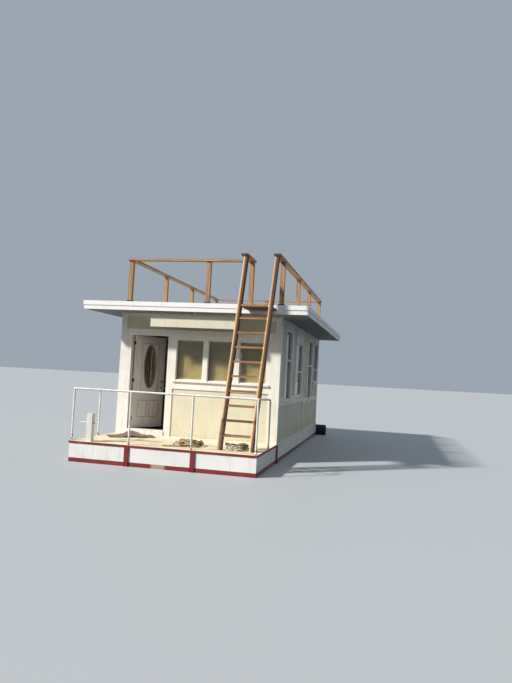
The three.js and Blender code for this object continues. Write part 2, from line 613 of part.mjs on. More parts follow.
// The mat lies askew before the door, and is pushed up into a ruck across its middle.
const MAT = { x: -1200, y: 1360, turn: 33, wide: 460 };
const matOutline = new THREE.Shape([
  // along the mat, height
  [-510, 0], [510, 0], [510, 14], [470, 15], [380, 28], [260, 52], [140, 80], [50, 94],
  [-30, 90], [-110, 64], [-210, 38], [-330, 18], [-510, 14],
].map(([along, height]) => new THREE.Vector2(along, height)));
const mat = new THREE.ExtrudeGeometry(matOutline, { depth: MAT.wide, bevelEnabled: false });
mat.rotateX(Math.PI / 2);
mat.translate(0, MAT.wide / 2, 0);
mat.rotateZ(THREE.MathUtils.degToRad(MAT.turn));
mat.translate(MAT.x, MAT.y, DECK_Z + GAP);
add('door_mat', mat, COLORS.mat, 0.95);

// The measuring frame moved so that the origin is under the boat's middle, at its bottom.
const front = -BATTEN_THICK;
const aft = HULL_LENGTH + GAP + 2 * FENDER.radius;
boat.position.set(0, -(front + aft) / 2, DRAFT);

const group = new THREE.Group();
group.name = 'houseboat';
group.add(boat);
export default group;
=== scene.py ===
# %% [markdown]
# # A small houseboat, dressed for a picture
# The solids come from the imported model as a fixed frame: a barge hull, a one-room cabin, a flat
# roof with a timber railing, and a ladder. This file adds what a camera sees on them: paint,
# timber, glass, rope, cloth and small fittings. Everything is in metres, with z = 0 under the
# hull's flat bottom, the bow towards -y, and the waterline at z = 0.300.

# %% Load the frame
import math

import bpy
import numpy as np
from mathutils import Matrix


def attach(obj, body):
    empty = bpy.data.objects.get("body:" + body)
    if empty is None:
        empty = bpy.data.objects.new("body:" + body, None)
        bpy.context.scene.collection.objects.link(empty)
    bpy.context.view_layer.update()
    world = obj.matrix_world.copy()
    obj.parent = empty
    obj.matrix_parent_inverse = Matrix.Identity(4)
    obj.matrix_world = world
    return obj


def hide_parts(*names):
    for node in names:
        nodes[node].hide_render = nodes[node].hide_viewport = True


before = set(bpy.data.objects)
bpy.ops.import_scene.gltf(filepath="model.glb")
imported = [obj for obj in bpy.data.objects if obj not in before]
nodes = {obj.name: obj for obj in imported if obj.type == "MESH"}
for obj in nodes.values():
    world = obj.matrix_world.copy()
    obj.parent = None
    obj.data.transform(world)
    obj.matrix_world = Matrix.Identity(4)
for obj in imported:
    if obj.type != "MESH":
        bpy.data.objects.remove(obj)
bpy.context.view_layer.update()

# The solids were drawn with y from the bow's face and z from the waterline. This moves a point
# given that way, in millimetres, into the frame's metres.
SHIFT = np.array([0.0, -4.62215, 0.300])
WATER = 0.300
DECK = 0.690


def at(*mm):
    """Millimetres from the bow's face and the waterline, turned into the frame's metres."""
    return np.array(mm, float) / 1000 + SHIFT

# %% [markdown]
# ## The camera
# A picture taken by hand: the camera is turned 12.6 degrees to the left, looks up 3.1 degrees and
# leans 3 degrees. A camera's matrix has its right, its up and its backward direction as columns,
# so the three are worked out from those angles and written straight into it.

# %% Camera
YAW, PITCH, ROLL = 0.22007, 0.054035, 0.052154
EYE = np.array([4.0646, -15.1567, 2.1368])
PICTURE = (512, 683)
FOCAL_PIXELS = 601.759
SENSOR = 36.0


def placed(right, up, backward, where):
    """The matrix of a camera or a lamp: its three directions and its place, as columns."""
    return Matrix([*np.column_stack([right, up, backward, where]).tolist(), [0, 0, 0, 1]])


forward = np.array([-math.sin(YAW) * math.cos(PITCH), math.cos(YAW) * math.cos(PITCH),
                    math.sin(PITCH)])
level_right = np.array([math.cos(YAW), math.sin(YAW), 0.0])
level_up = np.cross(level_right, forward)
right = math.cos(ROLL) * level_right + math.sin(ROLL) * level_up
up = -math.sin(ROLL) * level_right + math.cos(ROLL) * level_up

lens = bpy.data.cameras.new("hand_camera")
lens.sensor_fit = "VERTICAL"
lens.sensor_height = SENSOR
lens.lens = FOCAL_PIXELS / PICTURE[1] * SENSOR
lens.clip_end = 600
camera = bpy.data.objects.new("hand_camera", lens)
bpy.context.scene.collection.objects.link(camera)
camera.matrix_world = placed(right, up, -forward, EYE)
bpy.context.scene.camera = camera
print("lens", round(lens.lens, 3), "mm")

# %% [markdown]
# ## Making a mesh
# Every new piece is a surface worked out with numpy. A grid of points, rows by columns, becomes
# quads by joining each point to its neighbours. Rows or columns that close on themselves use the
# same rule with the index wrapped round.

# %% Mesh helpers
def make_piece(name, points, faces, material=None, smooth=True, uv=None):
    """A mesh object at the origin, from points (n, 3) in the frame's metres and faces (m, 3 or
    4) that are numbers of points."""
    mesh = bpy.data.meshes.new(name)
    points = np.asarray(points, float).reshape(-1, 3)
    faces = np.asarray(faces, int)
    sides = faces.shape[1]
    mesh.vertices.add(len(points))
    mesh.vertices.foreach_set("co", points.ravel())
    mesh.loops.add(faces.size)
    mesh.loops.foreach_set("vertex_index", faces.ravel())
    mesh.polygons.add(len(faces))
    mesh.polygons.foreach_set("loop_start", np.arange(len(faces)) * sides)
    mesh.polygons.foreach_set("use_smooth", np.full(len(faces), smooth))
    if uv is not None:
        layer = mesh.uv_layers.new(name="UVMap")
        layer.data.foreach_set("uv", np.asarray(uv, float)[faces.ravel()].ravel())
    mesh.update(calc_edges=True)
    mesh.validate()
    piece = bpy.data.objects.new(name, mesh)
    bpy.context.scene.collection.objects.link(piece)
    if material is not None:
        mesh.materials.append(material)
    return piece


def grid_faces(rows, columns, close_rows=False, close_columns=False):
    """Quads over a grid whose point (i, j) has number i * columns + j."""
    i = np.arange(rows if close_rows else rows - 1)
    j = np.arange(columns if close_columns else columns - 1)
    i, j = (part.ravel() for part in np.meshgrid(i, j, indexing="ij"))
    i1, j1 = (i + 1) % rows, (j + 1) % columns
    return np.stack([i * columns + j, i * columns + j1, i1 * columns + j1, i1 * columns + j],
                    axis=1)

# %% Faces of a tube
def triangles(quads):
    """Each quad as two triangles."""
    return np.concatenate([quads[:, [0, 1, 2]], quads[:, [0, 2, 3]]])


def capped_faces(rings, count):
    """Triangles of a tube whose points are numbered ring by ring, count to a ring, with two more
    points after them that close its ends by a fan each. They face out where a ring turns
    anticlockwise for an eye that looks back along the tube."""
    j = np.arange(count)
    after, last, ends = (j + 1) % count, (rings - 1) * count, rings * count
    return np.concatenate([
        triangles(grid_faces(rings, count, close_columns=True)),
        np.stack([np.full(count, ends), after, j], axis=1),
        np.stack([np.full(count, ends + 1), last + j, last + after], axis=1)])

# %% [markdown]
# ## Adding a shader node
# Each finish starts as a new material with one Principled shader in its node tree. One function
# adds a node to that tree: its properties go in as keywords, and its inputs as a dictionary from
# a socket's name or number to a value, to another node's output, or just to another node, whose
# result is then linked. A Mix node has a set of sockets for each kind of data: 0 is its share, 6
# and 7 are its two colours, 4 and 5 its vectors.

# %% Shader helpers
def srgb(code):
    """A hex colour such as "#c98d5e" as linear light: c / 12.92 up to 0.04045, and above it
    ((c + 0.055) / 1.055) to the power 2.4."""
    channels = np.array([int(code[i:i + 2], 16) for i in (1, 3, 5)]) / 255
    linear = np.where(channels <= 0.04045, channels / 12.92, ((channels + 0.055) / 1.055) ** 2.4)
    return (*linear.tolist(), 1.0)


def feed(node, inputs):
    """Each input, by its name or number, gets a value or a link from another node's socket. A
    whole node stands for the first of its outputs that is in use."""
    for key, value in inputs.items():
        if isinstance(value, bpy.types.Node):
            value = next(socket for socket in value.outputs if socket.enabled)
        if isinstance(value, bpy.types.NodeSocket):
            node.id_data.links.new(value, node.inputs[key])
        else:
            node.inputs[key].default_value = value


def add(tree, kind, inputs=None, stops=None, **settings):
    """A node with its settings, its colour stops and its links."""
    node = tree.nodes.new("ShaderNode" + kind)
    for key, value in settings.items():
        setattr(node, key, value)
    feed(node, inputs or {})
    if stops:
        ramp = node.color_ramp
        while len(ramp.elements) < len(stops):
            ramp.elements.new(0.5)
        for element, (position, colour) in zip(ramp.elements, stops):
            element.position = position
            element.color = colour
    return node


def start_material(name):
    """A new material, its node tree and the Principled shader in it."""
    material = bpy.data.materials.new(name)
    material.use_nodes = True
    return material, material.node_tree, material.node_tree.nodes["Principled BSDF"]

# %% [markdown]
# ## Two heaps of mooring rope
# Each rope is 24 or 22 mm laid rope, dropped on the deck in loose loops on top of one another.
# A rope could be simulated, but its line can also be worked out: the plan is a circle whose
# radius and middle wander from turn to turn, and each point then rests on the earlier rope under
# it. Two round ropes of diameter d whose lines are a distance s apart in plan touch when one is
# sqrt(d * d - s * s) above the other. A rope is too stiff to follow each crossing at once, so its
# height is raised smoothly before and after every hump. It also keeps some of its old bends, so
# every half metre or so a stretch of it arches up to 55 mm off the deck.

# %% Even steps and smooth values
ROPE_STEP = 0.008                    # between two points of a rope's line, m


def evenly(points, step):
    """The same line with points a fixed step apart along it."""
    gaps = np.linalg.norm(np.diff(points, axis=0), axis=1)
    along = np.concatenate([[0], np.cumsum(gaps)])
    places = np.linspace(0, along[-1], int(round(along[-1] / step)) + 1)
    return np.stack([np.interp(places, along, column) for column in points.T], axis=1)


def running_mean(values, half):
    """The mean of each value and the half values before and after it."""
    wide = np.pad(values, [(half, half)] + [(0, 0)] * (values.ndim - 1), mode="edge")
    return np.lib.stride_tricks.sliding_window_view(wide, 2 * half + 1, axis=0).mean(axis=-1)


def raised(heights, reach):
    """The running maximum over reach points each way, then two running means of half that reach,
    so that the result is smooth and nowhere lower than heights."""
    wide = np.pad(heights, reach, mode="edge")
    top = np.lib.stride_tricks.sliding_window_view(wide, 2 * reach + 1).max(axis=1)
    return running_mean(running_mean(top, reach // 2), reach // 2)

# %% Old bends that lift the rope
TALLEST_ARCH, ARCH_LENGTH = 0.055, 0.47          # m
FLAT_START = 70                                  # points before the first arch


def arches(count, seed):
    """Lifts for count points: the upper halves of a wave, to the power 1.6, whose phase wanders
    over 1.9 m and whose size wanders over 1.37 m. The first half metre lies flat."""
    start = np.random.default_rng(seed + 100).uniform(0, 2 * np.pi, 3)
    along = np.arange(count) * ROPE_STEP
    wander = 1.3 * np.sin(2 * np.pi * along / 1.9 + start[1])
    wave = np.sin(2 * np.pi * along / ARCH_LENGTH + start[0] + wander)
    size = 0.675 + 0.325 * np.sin(2 * np.pi * along / 1.37 + start[2])
    lift = TALLEST_ARCH * size * np.clip(wave, 0, None) ** 1.6
    lift[:FLAT_START] = 0
    return running_mean(lift, 5)

# %% Where a dropped rope lies
PASSES, SETTLED = 60, 1e-4           # the most rounds of laying, and the change that ends them, m


def laid_rope(plan, base, diameter):
    """Heights for a rope that falls along plan (n, 2) over base (n): every point is
    max(base + d / 2, z + sqrt(d^2 - s^2)) over the points at least 4 d before it along the rope
    and at a plan distance s below d. A hump is eased over 2.4 d each way, and the whole is
    repeated until nothing rises."""
    number = np.arange(len(plan))
    apart = np.hypot(plan[:, None, 0] - plan[None, :, 0], plan[:, None, 1] - plan[None, :, 1])
    earlier = number[:, None] - number[None, :] > 4 * diameter / ROPE_STEP
    rise = np.where(earlier & (apart < diameter),
                    np.sqrt(np.maximum(diameter ** 2 - apart ** 2, 0)), -np.inf)
    heights = base + diameter / 2
    reach = int(round(2.4 * diameter / ROPE_STEP))
    for _ in range(PASSES):
        rested = np.maximum(base + diameter / 2, (heights[None, :] + rise).max(axis=1))
        smooth = raised(rested, reach)
        if np.abs(smooth - heights).max() < SETTLED:
            break
        heights = smooth
    return np.column_stack([plan, heights])

# %% [markdown]
# The tube round that line is three strands laid together: its section has three soft lobes, and
# turns once in about three and a half diameters.

# %% Tube of laid rope
AROUND = 15                          # points round a rope
HOLLOW, LOBE = 0.78, 0.22            # a section's radius between two strands, and what they add
PITCH = 3.4                          # diameters for a whole turn of the strands
POINTED = 0.15                       # how far an end's middle stands out, in diameters


def laid_tube(name, line, diameter, material):
    """Section radius d / 2 * (HOLLOW + LOBE * |cos(1.5 * a)|), with a turned by 2 pi per pitch
    along the line, carried on two directions square to it. Returns the piece and its length."""
    tangent = np.gradient(line, axis=0)
    tangent /= np.linalg.norm(tangent, axis=1)[:, None]
    side = np.cross(tangent, [0.0, 0.0, 1.0])
    side /= np.linalg.norm(side, axis=1)[:, None]
    over = np.cross(side, tangent)
    along = np.concatenate([[0], np.cumsum(np.linalg.norm(np.diff(line, axis=0), axis=1))])
    a = np.arange(AROUND) / AROUND * 2 * np.pi
    twist = 2 * np.pi * along / (PITCH * diameter)
    radius = diameter / 2 * (HOLLOW + LOBE * np.abs(np.cos(1.5 * a)))
    turn = a[None, :] + twist[:, None]
    ring = (line[:, None, :] + (radius * np.cos(turn))[..., None] * side[:, None, :]
            + (radius * np.sin(turn))[..., None] * over[:, None, :])
    ends = np.stack([line[0] - tangent[0] * diameter * POINTED,
                     line[-1] + tangent[-1] * diameter * POINTED])
    points = np.concatenate([ring.reshape(-1, 3), ends])
    faces = capped_faces(len(line), AROUND)[:, ::-1]     # these rings turn clockwise
    uv = np.concatenate([
        np.stack([np.repeat(along, AROUND), np.tile(a / (2 * np.pi), len(line))], axis=1),
        [[0, 0.5], [along[-1], 0.5]]])
    return make_piece(name, points, faces, material, uv=uv), float(along[-1])

# %% Plans of the two heaps
def wandering_loops(middle, turns, radius, seed, first_angle, squeeze=0.95):
    """A circle drawn again and again: radius * (1 + three slow waves) about a middle that drifts
    by two more, each wave with its own odd number of turns, so that no two loops agree."""
    rng = np.random.default_rng(seed)
    angle = np.linspace(0, 2 * np.pi * turns, int(90 * turns)) + first_angle
    rates = rng.uniform(0.13, 0.83, 7)
    starts = rng.uniform(0, 2 * np.pi, 7)
    wave = [np.sin(rate * angle + start) for rate, start in zip(rates, starts)]
    size = radius * (1 + 0.20 * wave[0] + 0.15 * wave[1] + 0.08 * np.sin(2.3 * angle + starts[2]))
    x = middle[0] + size * np.cos(angle) + radius * (0.26 * wave[3] + 0.18 * wave[4])
    y = middle[1] + squeeze * size * np.sin(angle) + radius * (0.26 * wave[5] + 0.18 * wave[6])
    return np.stack([x, y], axis=1)


def led_in(points, loops):
    """Loose points before a heap of loops, as one line that two running means make smooth."""
    line = evenly(np.concatenate([points, loops]), ROPE_STEP)
    return running_mean(running_mean(line, 6), 6)

# %% [markdown]
# ### The finish of laid rope
# Polypropylene or hemp rope, weathered: each strand is a bundle of fine yarns that run a little
# across the strand, with grime in the hollows. The yarns are stripes on the tube's own UV map,
# whose u is metres along the rope and v is turns round it.

# %% Rope material
def weathered_rope(name, pale, mid, dark):
    """Yarn fibres from a noise on the UV map, 4 mm long by a thirtieth of a turn round the rope,
    and blotches of wear about 60 mm long."""
    material, tree, shader = start_material(name)
    place = add(tree, "TexCoord")
    yarn = add(tree, "Mapping", {"Vector": place.outputs["UV"], "Scale": (260, 30, 1)})
    fibre = add(tree, "TexNoise", {"Vector": yarn, "Scale": 1.0, "Detail": 3.0, "Roughness": 0.7})
    wear = add(tree, "TexNoise",
               {"Vector": place.outputs["Object"], "Scale": 16.0, "Detail": 4.0, "Roughness": 0.65})
    tone = add(tree, "ValToRGB", {"Fac": wear},
               stops=[(0.36, srgb(dark)), (0.48, srgb(mid)), (0.62, srgb(pale))])
    streak = add(tree, "ValToRGB", {"Fac": fibre},
                 stops=[(0.30, srgb("#8d8678")), (0.62, srgb("#ffffff"))])
    colour = add(tree, "Mix", {0: 0.8, 6: tone, 7: streak}, data_type="RGBA", blend_type="MULTIPLY")
    bump = add(tree, "Bump", {"Height": fibre, "Strength": 0.6, "Distance": 0.0012})
    feed(shader,
         {"Base Color": colour, "Normal": bump, "Roughness": 0.92, "Specular IOR Level": 0.2})
    return material


tan_rope = weathered_rope("laid_rope_tan", "#e6d2b0", "#a98d69", "#3e2e24")
grey_rope = weathered_rope("laid_rope_grey", "#fff7e8", "#dccdb6", "#50402f")
print("ropes' finishes", tan_rope.name, grey_rope.name)

ropes = [
    # name, node, middle mm, turns, radius m, seed, loose points before it mm, diameter m, finish
    ("mooring_rope_left", "rope_coil_left", (345, 665), 6.4, 0.215, 5,
     [(-70, 250), (-10, 290), (70, 310), (150, 345), (215, 400)], 0.024, tan_rope),
    ("mooring_rope_right", "rope_coil_right", (1335, 620), 7.4, 0.188, 3,
     [(1080, 400), (1130, 410), (1190, 425)], 0.022, grey_rope),
]
FIRST_ANGLE = 4.45           # the loops start at the front, moving to the right
CLEAR = 0.0005               # between the deck and the rope, m
for name, node, middle, turns, radius, seed, lead, diameter, finish in ropes:
    loops = wandering_loops(at(*middle, 0)[:2], turns, radius, seed, FIRST_ANGLE)
    plan = led_in(np.array([at(*point, 0)[:2] for point in lead]), loops)
    line = laid_rope(plan, DECK + CLEAR + arches(len(plan), seed), diameter)
    tube, length = laid_tube(name, line, diameter, finish)
    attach(tube, "boat")
    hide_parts(node)
    print(name, round(length, 2), "m long,", round(float(np.ptp(line[:, 2])) + diameter, 3), "high")

# %% [markdown]
# ## Painted boards and panels
# Most of the boat is wood under brushed house paint. A brush leaves fine lines, weather dulls the
# coat in clouds, rain draws grey runs under edges, and feet and spray soil the lowest part. All
# of that is one recipe with other numbers, so one function makes it for every painted finish.
# A wall's inner face is a dark lining colour, painted shade for the room inside, and a mask of
# position tells it from the outside.

# %% The room's box
ROOM_HALF, ROOM_FRONT, ROOM_REAR = 1.6995, -2.5407, 4.0982      # inner faces of the walls, m


def in_room(tree, axes):
    """1 where |x| < ROOM_HALF and ROOM_FRONT < y < ROOM_REAR, and 0 elsewhere. A Math node that
    compares gives 1 where its first two values are no further apart than its third."""
    within = add(tree, "Math", {0: axes.outputs["X"], 1: 0.0, 2: ROOM_HALF}, operation="COMPARE")
    behind = add(tree, "Math", {0: axes.outputs["Y"], 1: ROOM_FRONT}, operation="GREATER_THAN")
    before = add(tree, "Math", {0: axes.outputs["Y"], 1: ROOM_REAR}, operation="LESS_THAN")
    both = add(tree, "Math", {0: within, 1: behind}, operation="MULTIPLY")
    return add(tree, "Math", {0: both, 1: before}, operation="MULTIPLY")

# %% Brushed paint
def brushed_paint(name, clean, dull, dirt, roughness=0.5, brush=(420, 420, 22), runs=0.35,
                  soiled_from=DECK, soiled_to=DECK + 0.35, inside=None):
    """Clouds of two tones, dirt in runs 60 mm apart that are 15 times as long, and more dirt
    towards soiled_from. brush is the stroke noise's scale per metre along x, y and z. inside is the
    colour within the room, which the panels use as painted shade."""
    material, tree, shader = start_material(name)
    place = add(tree, "TexCoord").outputs["Object"]
    axes = add(tree, "SeparateXYZ", {"Vector": place})
    cloud = add(tree, "TexNoise", {"Vector": place, "Scale": 1.7, "Detail": 6.0, "Roughness": 0.62})
    dulled = add(tree, "MapRange", {"Value": cloud, "From Min": 0.38, "From Max": 0.68})
    tone = add(tree, "Mix", {0: dulled, 6: srgb(clean), 7: srgb(dull)}, data_type="RGBA")
    long = add(tree, "Mapping", {"Vector": place, "Scale": (16.0, 16.0, 1.1)})
    run = add(tree, "TexNoise", {"Vector": long, "Scale": 1.0, "Detail": 4.0, "Roughness": 0.6})
    run_share = add(tree, "MapRange",
                    {"Value": run, "From Min": 0.52, "From Max": 0.80, "To Max": runs})
    low = add(tree, "MapRange", {"Value": axes.outputs["Z"], "From Min": soiled_from,
                                 "From Max": soiled_to, "To Min": 0.55, "To Max": 0.0})
    speck = add(tree, "TexNoise", {"Vector": place, "Scale": 23.0, "Detail": 5.0, "Roughness": 0.7})
    speck_share = add(tree, "MapRange",
                      {"Value": speck, "From Min": 0.42, "From Max": 0.66, "To Min": 0.15})
    soil = add(tree, "Math", {0: low, 1: speck_share}, operation="MULTIPLY")
    share = add(tree, "Math", {0: soil, 1: run_share}, operation="ADD", use_clamp=True)
    colour = add(tree, "Mix", {0: share, 6: tone, 7: srgb(dirt)}, data_type="RGBA")
    if inside:
        colour = add(tree, "Mix", {0: in_room(tree, axes), 6: colour, 7: srgb(inside)},
                     data_type="RGBA")
    stroke = add(tree, "Mapping", {"Vector": place, "Scale": brush})
    hair = add(tree, "TexNoise", {"Vector": stroke, "Scale": 1.0, "Detail": 2.0})
    bump = add(tree, "Bump", {"Height": hair, "Strength": 0.18, "Distance": 0.0008})
    shine = add(tree, "MapRange", {"Value": cloud, "From Min": 0.3, "From Max": 0.7,
                                   "To Min": roughness - 0.08, "To Max": roughness + 0.12})
    feed(shader, {"Base Color": colour, "Roughness": shine, "Normal": bump})
    return material

# %% Every painted finish
trim_paint = brushed_paint("brushed_house_paint_white", "#f6f3ea", "#e9e4d6", "#a9a294", 0.45)
fascia_paint = brushed_paint("brushed_house_paint_fascia", "#fdfcfa", "#f3f1eb", "#bdb8ac", 0.42,
                             runs=0.25)
# the inside colour #8d8471 is painted shade for the room behind the walls
panel_paint = brushed_paint("brushed_house_paint_cream", "#dfd8bf", "#d3cbb0", "#968e76", 0.55,
                            runs=0.22, inside="#8d8471")
sign_paint = brushed_paint("sign_board_paint_cream", "#e6e1cb", "#dad3ba", "#989179", 0.5)
DOOR_TONES, DOOR_BRUSH = ("#f6f0ea", "#ebe4de", "#a39b95", 0.42), (300, 300, 14)
# the mouldings are a darker taupe than the slab: painted shade standing for the shade lines along
# them
moulding_shade_paint = brushed_paint("door_moulding_paint", "#d3c9c0", "#c4bab0", "#857b72", 0.42,
                               brush=DOOR_BRUSH, runs=0.18)
post_paint = brushed_paint("mooring_post_paint", "#f1efe9", "#dcd8cd", "#8c857a", 0.5, runs=0.6,
                           soiled_to=DECK + 0.25)
print("painted finishes", [m.name for m in bpy.data.materials])

# %% [markdown]
# ## The hull's enamel
# A barge hull of sheet and frames under white gloss enamel, with a dark red boot stripe from just
# above the waterline down. The stripe's edge was cut in by hand, so it wavers a few millimetres.
# One patch of it on the bow has been rubbed through to tan primer. Gloss paint mirrors the
# surround in the low places of its slow dents, which tells the eye that there is thin plate
# under it.

# %% The rubbed patch
BOW_FACE = -4.60                     # what lies before this is the bow's face, m
PATCH = {"middle": -0.02, "half": 0.145}


def rubbed_patch(tree, place, axes):
    """1 on the bow's face where |x - middle| < half, and 0 elsewhere. A noise moves x about, so
    that the patch has ragged ends."""
    rag = add(tree, "TexNoise", {"Vector": place, "Scale": 18.0, "Detail": 4.0})
    shifted = add(tree, "Math", {0: rag, 1: 0.10, 2: axes.outputs["X"]}, operation="MULTIPLY_ADD")
    aside = add(tree, "Math", {0: shifted, 1: PATCH["middle"] + 0.05}, operation="SUBTRACT")
    away = add(tree, "Math", {0: aside}, operation="ABSOLUTE")
    near = add(tree, "MapRange",
               {"Value": away, "From Min": PATCH["half"], "From Max": PATCH["half"] - 0.03})
    bow = add(tree, "Math", {0: axes.outputs["Y"], 1: BOW_FACE}, operation="LESS_THAN")
    return add(tree, "Math", {0: near, 1: bow}, operation="MULTIPLY")

# %% Hull enamel
BOOT_TOP = WATER + 0.078


def hull_enamel():
    """White above BOOT_TOP and red below, by the height z plus a slow wave a few mm high, with
    dark slime up to the waterline."""
    material, tree, shader = start_material("gloss_enamel_hull")
    place = add(tree, "TexCoord").outputs["Object"]
    axes = add(tree, "SeparateXYZ", {"Vector": place})
    waver = add(tree, "TexNoise", {"Vector": place, "Scale": 2.6, "Detail": 3.0})
    lifted = add(tree, "Math", {0: waver, 1: 0.010, 2: axes.outputs["Z"]}, operation="MULTIPLY_ADD")
    above = add(tree, "MapRange",
                {"Value": lifted, "From Min": BOOT_TOP + 0.003, "From Max": BOOT_TOP + 0.007})
    cloud = add(tree, "TexNoise", {"Vector": place, "Scale": 1.4, "Detail": 7.0, "Roughness": 0.6})
    white = add(tree, "ValToRGB", {"Fac": cloud},
                stops=[(0.30, srgb("#fbf9f6")), (0.56, srgb("#f3f0eb")), (0.78, srgb("#dcd8d0"))])
    long = add(tree, "Mapping", {"Vector": place, "Scale": (22.0, 22.0, 1.6)})
    run = add(tree, "TexNoise", {"Vector": long, "Scale": 1.0, "Detail": 3.0})
    run_share = add(tree, "MapRange",
                    {"Value": run, "From Min": 0.56, "From Max": 0.82, "To Max": 0.45})
    stained = add(tree, "Mix", {0: run_share, 6: white, 7: srgb("#b9a890")}, data_type="RGBA")
    red = add(tree, "ValToRGB", {"Fac": cloud},
              stops=[(0.32, srgb("#9a3a35")), (0.52, srgb("#862b29")), (0.72, srgb("#6b2222"))])
    wet = add(tree, "MapRange", {"Value": axes.outputs["Z"], "From Min": WATER - 0.01,
                                 "From Max": WATER + 0.03, "To Min": 0.75, "To Max": 0.0})
    slime = add(tree, "Mix", {0: wet, 6: red, 7: srgb("#4b2a22")}, data_type="RGBA")
    rubbed = add(tree, "Mix", {0: rubbed_patch(tree, place, axes), 6: slime, 7: srgb("#b39a7c")},
                 data_type="RGBA")
    colour = add(tree, "Mix", {0: above, 6: rubbed, 7: stained}, data_type="RGBA")
    dent = add(tree, "TexNoise", {"Vector": place, "Scale": 1.1, "Detail": 2.0})
    bump = add(tree, "Bump", {"Height": dent, "Strength": 0.25, "Distance": 0.02})
    shine = add(tree, "MapRange",
                {"Value": cloud, "From Min": 0.3, "From Max": 0.7, "To Min": 0.22, "To Max": 0.42})
    feed(shader, {"Base Color": colour, "Roughness": shine, "Normal": bump})
    return material


hull_paint = hull_enamel()
print("hull", hull_paint.name)

# %% [markdown]
# The battens and the band round the deck are the same dark red, faded and rubbed by other boats
# and by lines, so pale scuffs show along them. Along the cabin's sides the band was painted over
# with the hull's white, so its red ends just behind the front corners.

# %% Red paint
def faded_red(name, red_to=None):
    """Two reds in clouds, and scuffs where a stretched noise is high. Past red_to, in metres
    towards the stern, it is white."""
    material, tree, shader = start_material(name)
    place = add(tree, "TexCoord").outputs["Object"]
    cloud = add(tree, "TexNoise", {"Vector": place, "Scale": 4.0, "Detail": 5.0})
    tone = add(tree, "ValToRGB", {"Fac": cloud},
               stops=[(0.30, srgb("#8f3a38")), (0.55, srgb("#7a2a2b")), (0.75, srgb("#5f2123"))])
    long = add(tree, "Mapping", {"Vector": place, "Scale": (5.0, 5.0, 40.0)})
    rub = add(tree, "TexNoise", {"Vector": long, "Scale": 1.0, "Detail": 4.0})
    share = add(tree, "MapRange",
                {"Value": rub, "From Min": 0.60, "From Max": 0.78, "To Max": 0.55})
    colour = add(tree, "Mix", {0: share, 6: tone, 7: srgb("#b08a80")}, data_type="RGBA")
    if red_to is not None:
        axes = add(tree, "SeparateXYZ", {"Vector": place})
        past = add(tree, "MapRange", {"Value": axes.outputs["Y"], "From Min": red_to - 0.004,
                                      "From Max": red_to + 0.004})
        colour = add(tree, "Mix", {0: past, 6: colour, 7: srgb("#efece6")}, data_type="RGBA")
    bump = add(tree, "Bump", {"Height": rub, "Strength": 0.3, "Distance": 0.002})
    feed(shader,
         {"Base Color": colour, "Normal": bump, "Roughness": 0.55, "Specular IOR Level": 0.25})
    return material


BAND_RED_TO = 1985                   # just behind the cabin's front corners, mm from the bow
red_paint = faded_red("brushed_paint_dark_red")
band_paint = faded_red("brushed_paint_red_and_white", at(0, BAND_RED_TO, 0)[1])
print("reds", red_paint.name, band_paint.name)

# %% [markdown]
# ## Planks underfoot and overhead
# The deck is tan painted boards laid from side to side, 140 mm wide with 6 mm grooves. Each board
# has its own tone, because paint wears by the board. The roof's top is the same work in pale grey,
# and its underside is close boards in a cool mid grey, dark enough to stand as painted shade under
# the eaves. The tone comes from a white noise on the board's number, which is the whole part of y
# divided by the board's width. The room's floor is bare boards that run lengthwise.

# %% Boards and the grooves between them
BOARD, GROOVE = 0.140, 0.006


def boards(tree, axes):
    """Two values from y: a number between 0 and 1 that is each board's own, and 1 in the grooves,
    which are where y is near a whole number of boards."""
    count = add(tree, "Math", {0: axes.outputs["Y"], 1: BOARD}, operation="DIVIDE")
    number = add(tree, "Math", {0: count}, operation="FLOOR")
    own = add(tree, "TexWhiteNoise", {"W": number}, noise_dimensions="1D")
    part = add(tree, "Math", {0: count}, operation="FRACT")
    centred = add(tree, "Math", {0: part, 1: 0.5}, operation="SUBTRACT")
    edge = add(tree, "Math", {0: centred}, operation="ABSOLUTE")
    joint = add(tree, "MapRange", {"Value": edge, "From Min": 0.5 - GROOVE / BOARD,
                                   "From Max": 0.5 - 0.3 * GROOVE / BOARD})
    return own.outputs["Value"], joint

